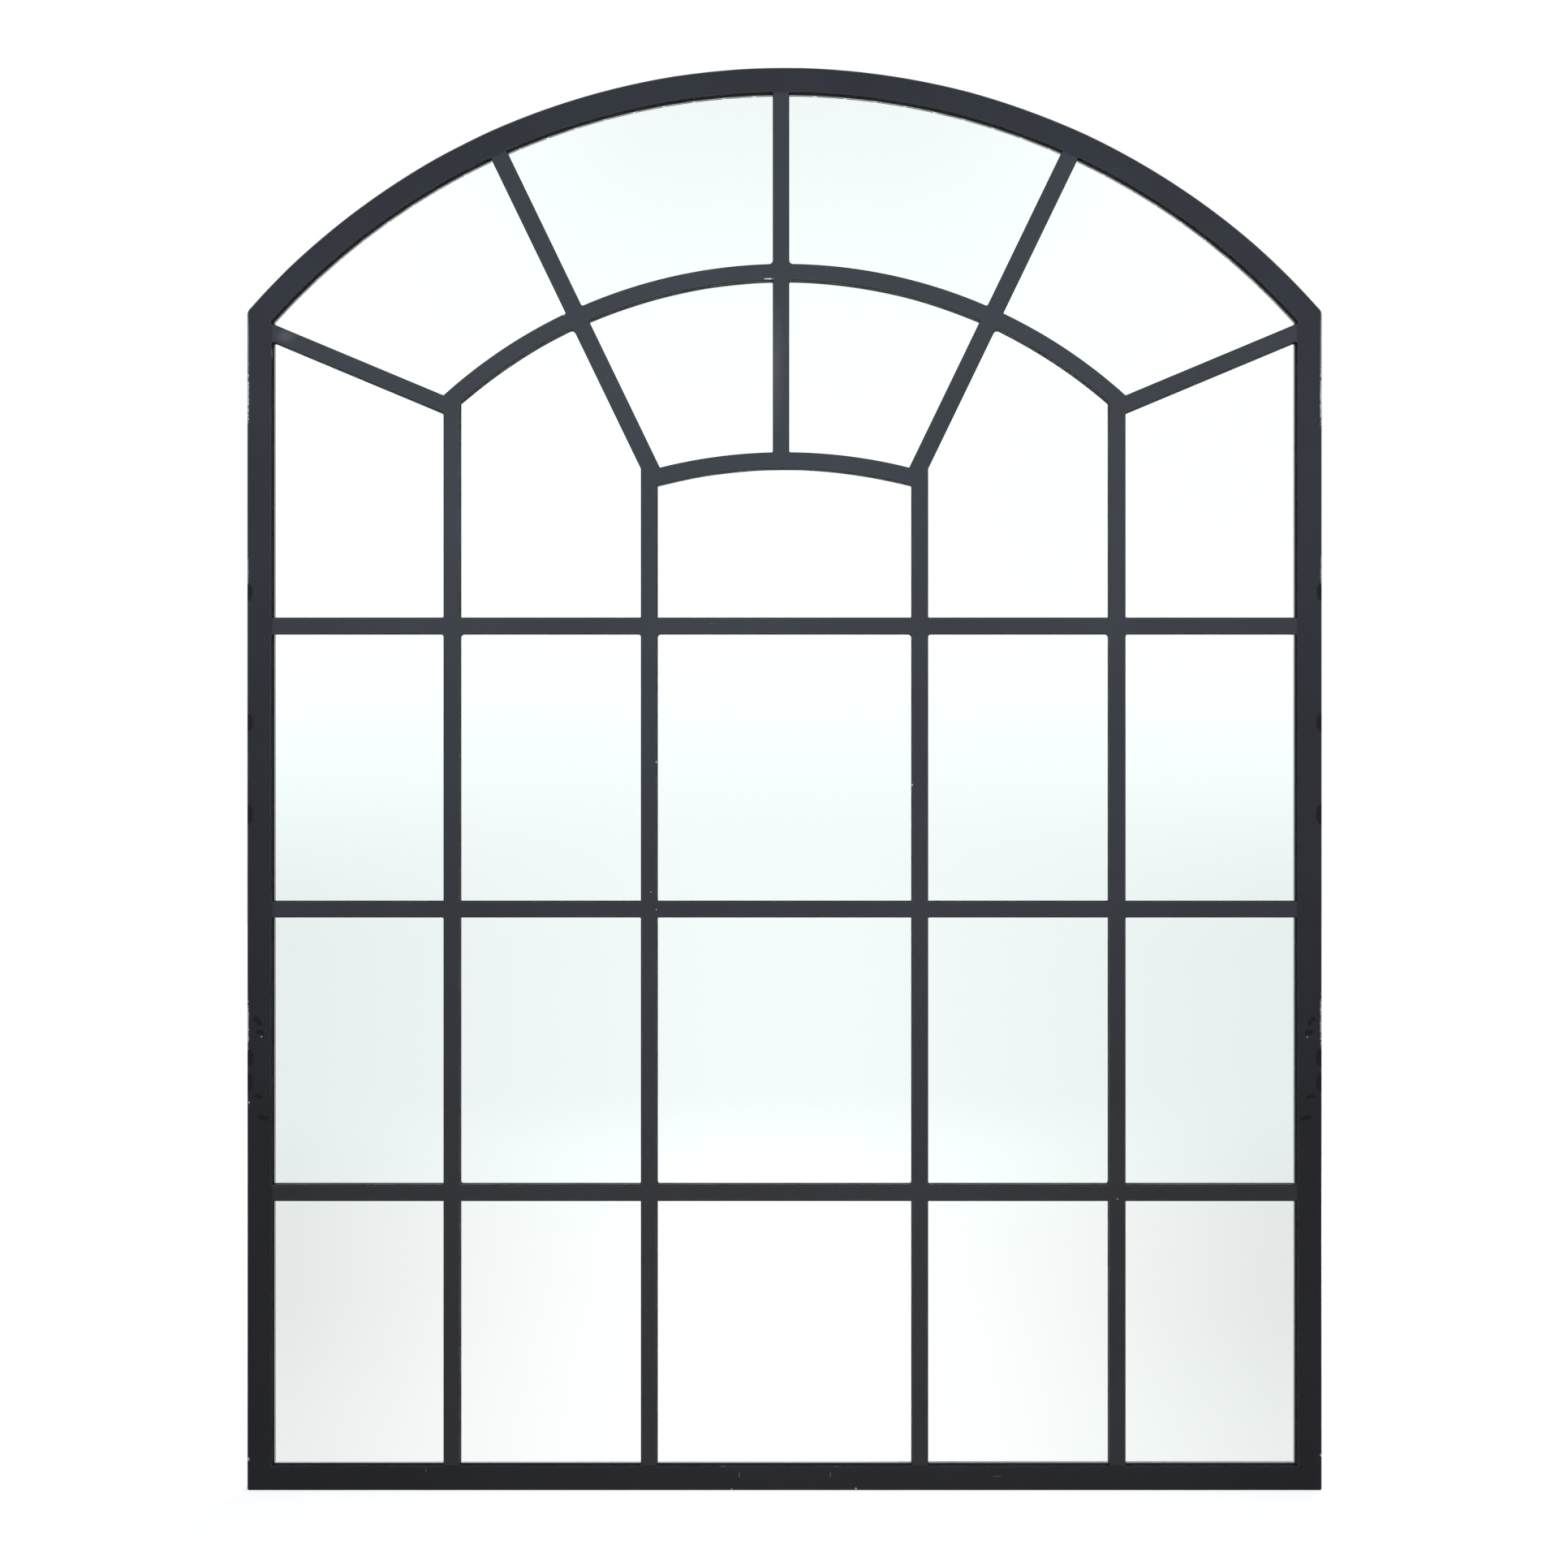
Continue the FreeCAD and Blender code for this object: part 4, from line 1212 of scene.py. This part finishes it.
PAIRED_BORDER_MARKS: tuple[Mark, ...] = (
    # painted highlight: the light line down the outer edge below the shoulder
    Mark(-456.1, 973.0, 0.9, 62.0, HIGHLIGHT_AND_RUBBED_STEEL, 0.2, 0.5),
    Mark(-456.2, 931.0, 1.4, 42.0, CHIP, 0.1, 3.4),
    Mark(-456.3, 780.0, 1.0, 30.0, HIGHLIGHT_AND_RUBBED_STEEL, 0.1, 2.6),
    Mark(-456.2, 395.0, 1.0, 40.0, CHIP, 0.1, 3.6),
    Mark(-449.6, 400.8, 5.0, 4.4, SMUDGE, 0.35, 0.5),
    Mark(-446.6, 397.6, 4.4, 4.6, SMUDGE, 0.35, 0.5),
    Mark(-447.8, 389.9, 3.6, 4.2, SMUDGE, 0.35, 0.5),
    Mark(-444.6, 389.4, 3.6, 4.6, SMUDGE, 0.35, 0.5),
    Mark(-448.6, 335.4, 6.4, 3.4, SMUDGE, 0.35, 0.5),
    Mark(-445.8, 334.2, 4.0, 2.8, SMUDGE, 0.35, 0.5),
    Mark(-444.6, 317.2, 7.0, 3.8, SMUDGE, 0.35, 0.5),
    Mark(-440.6, 316.2, 5.6, 3.4, SMUDGE, 0.35, 0.5),
    Mark(-456.0, 764.0, 7.0, 15.0, TOUCHED, 0.2, 0.4),
    Mark(-456.0, 653.0, 8.0, 15.0, TOUCHED, 0.2, 0.4),
    Mark(-456.0, 575.0, 8.0, 17.0, TOUCHED, 0.2, 0.4),
    Mark(-456.0, 368.0, 9.0, 15.0, TOUCHED, 0.2, 0.4),
    Mark(-456.0, 347.0, 8.0, 16.0, TOUCHED, 0.2, 0.4),
)
BAR_MARKS: tuple[Mark, ...] = (
    Mark(-187.7, 1000.2, 2.2, 1.6, CHIP),
    Mark(-13.6, 1030.4, 8.5, 1.0, CHIP, ragged=1.8),
    Mark(-249.5, 1127.0, 1.2, 7.0, CHIP, ragged=1.2),
    Mark(-424.0, 981.6, 12.0, 8.0, (0.10, 0.106, 0.12), 0.7, 0.5),
    # painted highlight: a soft lighter sheen on the centre bar
    Mark(-9.0, 957.0, 12.0, 70.0, (0.092, 0.095, 0.105), 0.7, 0.4),
    Mark(-109.0, 619.5, 0.8, 1.8, CHIP),
    Mark(-109.0, 494.0, 0.7, 1.2, CHIP),
    Mark(-113.6, 509.0, 0.9, 0.8, CHIP),
    Mark(-276.8, 505.0, 0.9, 1.2, SCRATCH),
    Mark(108.6, 600.0, 0.8, 2.0, CHIP),
    Mark(283.0, 248.0, 1.0, 0.8, CHIP),
    Mark(122.0, 866.0, 1.4, 2.2, SCRATCH),
    Mark(-62.0, 737.0, 3.0, 0.7, SCRATCH, ragged=1.5),
)


@dataclass(frozen=True)
class SatinPaint(Finish):
    """Charcoal paint, hand-brushed satin, with slate and plum patches, worn edges, a painted highlight along
    the rounded edges, painted shade on the inner sides and painted light that is darker towards the bottom.
    """

    name: str = "charcoal_paint"
    dark: Colour = (0.047, 0.049, 0.057)
    light: Colour = (0.059, 0.062, 0.073)
    plum: Colour = (0.057, 0.055, 0.063)
    # colour of worn edges and specks, and also of the painted highlight along the rounded edges
    wear_and_highlight: Colour = (0.105, 0.112, 0.13)
    # painted highlight on the outer rounded edges
    outer_highlight: Colour = (0.17, 0.18, 0.2)
    # painted shade: the near-black colour of the pane walls down to the glass
    inside: Colour = (0.006, 0.006, 0.007)
    # foot and head: painted light, a gradient that darkens the paint towards the bottom and lightens it
    # towards the top
    foot: Colour = (0.73, 0.715, 0.70)
    head: Colour = (1.0, 1.03, 1.06)
    marks: tuple[Mark, ...] = BAR_MARKS
    broad: Patches = Patches(5.0, 3.0)
    close: Patches = Patches(19.0, 4.0, 0.45, 0.75)
    specks: Patches = Patches(420.0, 2.0, 0.76, 0.8)
    # heights in metres over which that painted light gradient runs
    drift: tuple[float, float] = (0.2, 0.8)
    plum_share: float = 0.6
    speck_share: float = 0.5
    # how strongly the painted highlight lies along the rounded edges
    rim_highlight_share: float = 0.22
    worn_share: float = 0.8
    # how strongly the painted highlight lies on the outer rounded edges
    outer_highlight_share: float = 0.7
    wear_scale: float = 55.0
    wear_amount: float = 0.35
    rough: tuple[float, float] = (0.36, 0.48)
    specular: float = 0.1
    grain: Grain = Grain(1100.0, 75.0, 0.6, 0.25)

    def material(self, effects: Effects) -> bpy.types.Material:
        """Build the material."""
        material, tree, shader, place = self.start()
        broad = effects.patches(tree, place, self.broad)
        close = effects.patches(tree, place, self.close)
        specks = effects.patches(tree, place, self.specks)
        drift = tree.ramp(tree.parts(place)[2], *self.drift)
        face = tree.node("ShaderNodeAttribute", attribute_name="edge").outputs["Fac"]
        edge = tree.math("MAXIMUM", face, 0.0)
        # outer: where the outer rounded edges get painted highlight
        outer = tree.math("MAXIMUM", tree.math("SUBTRACT", face, 1.0), 0.0)
        # wall: where the pane walls get painted shade
        wall = tree.math("MAXIMUM", tree.math("MULTIPLY", face, -1.0), 0.0)
        worn = tree.group(
            effects.wear, Vector=place, Edge=edge, Scale=self.wear_scale, Amount=self.wear_amount)

        colour = tree.mix(broad, opaque(self.dark), opaque(self.light))
        colour = tree.coat(colour, close, self.plum, self.plum_share)
        # painted light: the paint darkens towards the bottom and lightens towards the top
        painted_light_gradient = tree.mix(drift, opaque(self.foot), opaque(self.head))
        colour = tree.vector_math("MULTIPLY", colour, painted_light_gradient).outputs[0]
        colour = tree.coat(colour, specks, self.wear_and_highlight, self.speck_share)
        # painted highlight along the rounded edges
        colour = tree.coat(colour, edge, self.wear_and_highlight, self.rim_highlight_share)
        colour = tree.coat(colour, worn, self.wear_and_highlight, self.worn_share)
        # painted highlight on the outer rounded edges
        colour = tree.coat(colour, outer, self.outer_highlight, self.outer_highlight_share)
        # painted shade on the pane walls
        colour = tree.coat(colour, wall, self.inside)
        for mark in self.marks:
            colour = tree.coat(colour, mark.mask(tree, effects, place), mark.colour)
        tree.feed(colour, shader.inputs["Base Color"])
        tree.feed(tree.spread(close, *self.rough), shader.inputs["Roughness"])
        shader.inputs["Specular IOR Level"].default_value = self.specular
        self.emboss(tree, shader, effects, place, self.grain)
        return material


@dataclass(frozen=True)
class Silvering(Finish):
    """The silver on the glass's back: a mirror to the front, grey protective paint to the wall."""

    name: str = "mirror_silver"
    tint: Colour = (0.955, 0.985, 0.985)
    aged: Colour = (0.945, 0.985, 0.98)
    paint: Colour = (0.10, 0.105, 0.11)
    haze: Patches = Patches(3.0, 2.0)
    haze_rough: float = 0.012
    paint_rough: float = 0.6
    turned_away: tuple[float, float] = (-0.6, -0.4)

    def material(self, effects: Effects) -> bpy.types.Material:
        """Build the material."""
        material, tree, shader, place = self.start()
        haze = effects.patches(tree, place, self.haze)
        silver = tree.mix(haze, opaque(self.tint), opaque(self.aged))
        behind = tree.ramp(tree.parts(tree.coordinates("Normal"))[1], *self.turned_away)
        tree.feed(tree.coat(silver, behind, self.paint), shader.inputs["Base Color"])
        hazy = tree.spread(haze, 0.0, self.haze_rough)
        rough = tree.math("MAXIMUM", hazy, tree.math("MULTIPLY", behind, self.paint_rough))
        tree.feed(rough, shader.inputs["Roughness"])
        tree.feed(tree.math("SUBTRACT", 1.0, behind), shader.inputs["Metallic"])
        return material


@dataclass(frozen=True)
class ClearGlass(Finish):
    """Float glass, slightly green."""

    name: str = "clear_glass"
    clear: Colour = (0.975, 0.997, 0.994)
    green: Colour = (0.968, 0.995, 0.99)
    drift: Patches = Patches(2.5, 2.0)

    def material(self, effects: Effects) -> bpy.types.Material:
        """Build the material."""
        material, tree, shader, place = self.start()
        drift = effects.patches(tree, place, self.drift)
        tree.feed(tree.mix(drift, opaque(self.clear), opaque(self.green)), shader.inputs["Base Color"])
        shader.inputs["Roughness"].default_value = 0.0
        shader.inputs["IOR"].default_value = 1.5
        shader.inputs["Transmission Weight"].default_value = 1.0
        return material


@dataclass(frozen=True)
class Plain(Finish):
    """A finish with soft patches, a grain and a bump: board, rubber, mastic, foam and plated steel."""

    name: str
    dark: Colour
    light: Colour
    rough: tuple[float, float]
    metallic: float = 0.0
    scale: float = 20.0
    detail: float = 4.0
    fine: float = 900.0
    fibre_detail: float = 5.0
    fibre_low: float = 0.35
    grains_per_fibre: float = 4.0
    grains_per_dimple: float = 8.0
    dimple_share: float = 0.4
    bump: float = 0.3

    def material(self, effects: Effects) -> bpy.types.Material:
        """Build the material."""
        material, tree, shader, place = self.start()
        broad = effects.patches(tree, place, Patches(self.scale, self.detail))
        fibres = Patches(self.fine / self.grains_per_fibre, self.fibre_detail, self.fibre_low)
        fibre = effects.patches(tree, place, fibres)
        blend = tree.math("MULTIPLY", tree.math("ADD", broad, fibre), 0.5)
        tree.feed(tree.mix(blend, opaque(self.dark), opaque(self.light)), shader.inputs["Base Color"])
        tree.feed(tree.spread(fibre, *self.rough), shader.inputs["Roughness"])
        shader.inputs["Metallic"].default_value = self.metallic
        dimples = self.fine / self.grains_per_dimple
        self.emboss(tree, shader, effects, place, Grain(self.fine, dimples, self.dimple_share, self.bump))
        return material


class Dresser:
    """Turns meshes into pieces that ride on their bodies and carry their finishes."""

    def __init__(self, finishes: Iterable[Finish]) -> None:
        """Build the materials."""
        effects = Effects()
        self.materials = {finish.name: finish.material(effects) for finish in finishes}

    def piece(
            self, mesh: BMesh, name: str, slot: str, node: str = "", body: str = "mirror_frame",
            finish: str = "") -> None:
        """Make a mesh a piece of the mirror.

        Args:
            mesh: the mesh, freed by this.
            name: the piece's name.
            slot: the record's material slot.
            node: the CAD node that it stands for, where it isn't named as the piece is.
            body: the body that it rides on.
            finish: the finish, where it isn't named as the slot is.
        """
        for face in mesh.faces:
            face.smooth = abs(face.normal.y) < FLAT
        for edge in mesh.edges:
            if edge.is_manifold and edge.calc_face_angle(0.0) > CREASE:
                edge.smooth = False
        data = bpy.data.meshes.new(name)
        mesh.to_mesh(data)
        mesh.free()
        data.materials.append(self.materials[finish or slot])
        piece = bpy.data.objects.new(f"{name}_piece", data)
        bpy.context.scene.collection.objects.link(piece)
        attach(piece, body)
        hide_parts(node or name)
        log.info("piece %s: %d faces, %s", piece.name, len(data.polygons), slot)

    def node(self, name: str, slot: str) -> None:
        """Give a CAD node that keeps its shape its finish.

        Args:
            name: the node.
            slot: the finish.
        """
        item = frame["nodes"][name]
        item.data.materials.clear()
        item.data.materials.append(self.materials[slot])
        log.info("node %s: %s", name, slot)


# Studio ------------------------------------------------------------------------------------------


@dataclass(frozen=True)
class Lamp:
    """A soft rectangular lamp; lengths in metres."""

    name: str
    place: tuple[float, float, float]
    aim: tuple[float, float, float]
    size: Point
    power: float
    colour: Colour


@dataclass(frozen=True)
class Step:
    """A soft step of the room's tone: where it begins, where it is complete, and its height."""

    start: float
    end: float
    height: float = 1.0

    def add(self, tree: Tree, level: object) -> Socket:
        """The step, read at a level."""
        return tree.ramp(level, self.start, self.end, 0.0, self.height, interpolation_type="SMOOTHSTEP")


@dataclass
class Studio:
    """Floor, light and camera."""

    camera_place: Point = (-0.45, 600.8)
    camera_distance: float = 3011.0
    lens: float = 81.0
    sensor: float = 36.0
    fill: float = 0.15
    fill_colour: Colour = (0.97, 0.985, 1.0)
    least_ahead: float = 0.25
    floor_half: float = 12.0
    floor_colour: Colour = (0.8, 0.8, 0.8)
    floor_rough: float = 0.9
    glow: tuple[float, float] = (0.68, 1.0)
    glow_reach: tuple[float, float] = (0.5, 1.8)
    side_level: float = 0.83
    side_steps: tuple[Step, ...] = (
        Step(-0.05, 0.045, 0.23), Step(-0.13, -0.09, 0.06), Step(-0.14, -0.19, 0.06))
    middle_level: float = 1.0
    middle_steps: tuple[Step, ...] = (Step(-0.02, 0.045, 0.12), Step(-0.085, -0.11, 0.12))
    side_reach: tuple[float, float] = (0.02, 0.139)
    crown_rise: Step = Step(0.10, 0.20, 0.14)
    crown_width: Step = Step(0.13, 0.03)
    warm_rise: Step = Step(-0.10, -0.13)
    warm: Colour = (1.04, 1.0, 0.995)
    lamps: tuple[Lamp, ...] = (
        Lamp("front_lamp", (0.0, -0.85, 1.05), (0.0, 0.0, 0.9), (1.6, 0.3), 7.6, (0.88, 0.95, 1.0)),
        Lamp("low_lamp", (0.0, -0.6, 0.15), (0.0, 0.0, 0.15), (0.3, 0.2), 1.0, (1.0, 0.97, 0.97)),
        Lamp("back_lamp", (0.6, 2.2, 1.9), (0.0, 0.0, 0.6), (1.5, 1.0), 45.0, (1.0, 1.0, 1.0)),
    )

    def build(self) -> None:
        """Build the studio."""
        self.room = self.room_group()
        self.build_world()
        self.build_floor()
        self.build_lamps()
        self.build_camera()
        bpy.context.scene.view_settings.view_transform = "Standard"

    def tone(self, tree: Tree, rise: Socket, level: object, steps: Sequence[Step]) -> Socket:
        """A level of grey that changes with height in soft steps."""
        for step in steps:
            level = tree.math("ADD", level, step.add(tree, rise))
        return level

    def room_group(self) -> bpy.types.NodeTree:
        """What the mirror sees: white, paler grey at the sides below eye level, a dimmer crown."""
        tree, given, colour = new_group("Room tone", {"Rise": 0.0, "Aside": 0.0}, "Colour", COLOUR)
        rise, aside = given["Rise"], given["Aside"]
        sides = self.tone(tree, rise, self.side_level, self.side_steps)
        middle = self.tone(tree, rise, self.middle_level, self.middle_steps)
        level = tree.mix_numbers(tree.ramp(aside, *self.side_reach), middle, sides)
        crown = tree.math("MULTIPLY", self.crown_rise.add(tree, rise), self.crown_width.add(tree, aside))
        level = tree.math("SUBTRACT", level, crown)
        warm = tree.mix(self.warm_rise.add(tree, rise), WHITE, opaque(self.warm))
        toned = tree.node("ShaderNodeVectorMath", {0: warm, 3: level}, operation="SCALE")
        tree.feed(toned.outputs[0], colour)
        return tree.tree

    def mirrored(self, tree: Tree) -> Socket:
        """Whether a ray comes from a mirror or through glass."""
        path = tree.node("ShaderNodeLightPath")
        return tree.math("MAXIMUM", path.outputs["Is Glossy Ray"], path.outputs["Is Transmission Ray"])

    def build_world(self) -> None:
        """A white surround that lights the object softly."""
        world = bpy.data.worlds.new("surround")
        world.use_nodes = True
        tree = Tree(world.node_tree)
        across, ahead, up = tree.parts(tree.coordinates("Generated"))
        ahead = tree.math("MAXIMUM", tree.math("ABSOLUTE", ahead), self.least_ahead)
        rise = tree.math("DIVIDE", up, ahead)
        aside = tree.math("ABSOLUTE", tree.math("DIVIDE", across, ahead))
        tone = tree.group(self.room, Rise=rise, Aside=aside)
        glimpse, white, fill = (
            tree.node("ShaderNodeBackground", {"Color": colour, "Strength": strength}).outputs[0]
            for colour, strength in ((tone, 1.0), (WHITE, 1.0), (opaque(self.fill_colour), self.fill)))
        lit = tree.node("ShaderNodeMixShader", {0: self.mirrored(tree), 1: fill, 2: glimpse})
        seen = tree.node("ShaderNodeLightPath").outputs["Is Camera Ray"]
        shader = tree.node("ShaderNodeMixShader", {0: seen, 1: lit.outputs[0], 2: white})
        tree.node("ShaderNodeOutputWorld", {"Surface": shader.outputs[0]})
        bpy.context.scene.world = world

    def build_floor(self) -> None:
        """A pale floor that shows white and keeps the mirror's shadow."""
        mesh = bmesh.new()
        bmesh.ops.create_grid(mesh, x_segments=1, y_segments=1, size=self.floor_half)
        data = bpy.data.meshes.new("floor")
        mesh.to_mesh(data)
        mesh.free()
        floor = bpy.data.objects.new("floor", data)
        bpy.context.scene.collection.objects.link(floor)
        material = bpy.data.materials.new("floor")
        material.use_nodes = True
        tree = Tree(material.node_tree)
        place = tree.coordinates()
        shader = tree.node(
            "ShaderNodeBsdfPrincipled",
            {"Base Color": opaque(self.floor_colour), "Roughness": self.floor_rough, "Emission Color": WHITE})
        away = tree.vector_math("LENGTH", place).outputs["Value"]
        glow = tree.ramp(away, *self.glow_reach, *self.glow)
        seen = tree.node("ShaderNodeLightPath").outputs["Is Camera Ray"]
        tree.feed(tree.math("MULTIPLY", seen, glow), shader.inputs["Emission Strength"])
        across, ahead, _ = tree.parts(place)
        reach = tree.math("ADD", tree.math("ABSOLUTE", ahead), self.camera_distance * MM)
        rise = tree.math("DIVIDE", -self.camera_place[1] * MM, reach)
        aside = tree.math("DIVIDE", tree.math("ABSOLUTE", across), reach)
        tone = tree.group(self.room, Rise=rise, Aside=aside)
        glimpse = tree.node("ShaderNodeEmission", {"Color": tone, "Strength": 1.0})
        both = tree.node(
            "ShaderNodeMixShader", {0: self.mirrored(tree), 1: shader.outputs[0], 2: glimpse.outputs[0]})
        tree.node("ShaderNodeOutputMaterial", {"Surface": both.outputs[0]})
        data.materials.append(material)

    def build_lamps(self) -> None:
        """Soft lamps in front, low in front and behind, unseen in the mirror."""
        for lamp in self.lamps:
            data = bpy.data.lights.new(lamp.name, "AREA")
            data.shape = "RECTANGLE"
            data.size, data.size_y = lamp.size
            data.energy = lamp.power
            data.color = lamp.colour
            item = bpy.data.objects.new(lamp.name, data)
            item.location = lamp.place
            item.rotation_euler = (Vector(lamp.aim) - item.location).to_track_quat("-Z", "Y").to_euler()
            item.visible_glossy = False
            item.visible_transmission = False
            item.visible_camera = False
            bpy.context.scene.collection.objects.link(item)

    def build_camera(self) -> None:
        """The photograph's level view."""
        data = bpy.data.cameras.new("camera")
        data.lens = self.lens
        data.sensor_width = self.sensor
        camera = bpy.data.objects.new("camera", data)
        camera.location = (self.camera_place[0] * MM, -self.camera_distance * MM, self.camera_place[1] * MM)
        camera.rotation_euler = (math.radians(90), 0, 0)
        bpy.context.scene.collection.objects.link(camera)
        bpy.context.scene.camera = camera


FINISHES: tuple[Finish, ...] = (
    SatinPaint(),
    # the border tubes: a darker copy of the charcoal paint as painted shade, with a stronger painted light
    # gradient from foot to head
    SatinPaint(
        "shaded_tube_paint", (0.026, 0.027, 0.033), (0.034, 0.0355, 0.043), (0.031, 0.030, 0.036),
        (0.085, 0.09, 0.102), foot=(0.75, 0.745, 0.735), head=(1.16, 1.2, 1.24),
        marks=BORDER_MARKS + PAIRED_BORDER_MARKS + tuple(mark.flipped() for mark in PAIRED_BORDER_MARKS)),
    ClearGlass(),
    Silvering(),
    Plain("hardboard", (0.17, 0.09, 0.045), (0.30, 0.18, 0.10), (0.5, 0.75), scale=7.0, fine=500.0, bump=0.5),
    Plain("black_mastic", (0.006, 0.006, 0.007), (0.016, 0.016, 0.018), (0.45, 0.7), scale=40.0, bump=0.5),
    Plain("foam_tape", (0.012, 0.012, 0.013), (0.03, 0.03, 0.031), (0.8, 0.95), scale=90.0, bump=0.8),
    Plain(
        "zinc_plate", (0.42, 0.43, 0.44), (0.66, 0.67, 0.67), (0.25, 0.45),
        metallic=1.0, scale=60.0, bump=0.15),
    Plain(
        "screw_zinc", (0.50, 0.49, 0.44), (0.72, 0.71, 0.66), (0.2, 0.36),
        metallic=1.0, scale=150.0, bump=0.1),
    Plain(
        "wire_zinc", (0.48, 0.49, 0.50), (0.70, 0.71, 0.71), (0.18, 0.34),
        metallic=1.0, scale=90.0, bump=0.1),
    Plain("black_rubber", (0.01, 0.01, 0.011), (0.028, 0.028, 0.03), (0.6, 0.85), scale=50.0, bump=0.6),
)
NODE_SLOTS = {
    "edge_seal": "black_mastic",
    "glazing_tape": "foam_tape",
}


def main() -> None:
    """Build every piece, then the studio."""
    logging.basicConfig(level=logging.INFO, format="%(name)s: %(message)s")
    dress = Dresser(FINISHES)
    window = Frame()
    window.build(dress)
    MirrorSheet(window).build(dress)
    Fittings().build(dress)
    for name, slot in NODE_SLOTS.items():
        dress.node(name, slot)
    Studio().build()


if __name__ == "__main__":
    main()
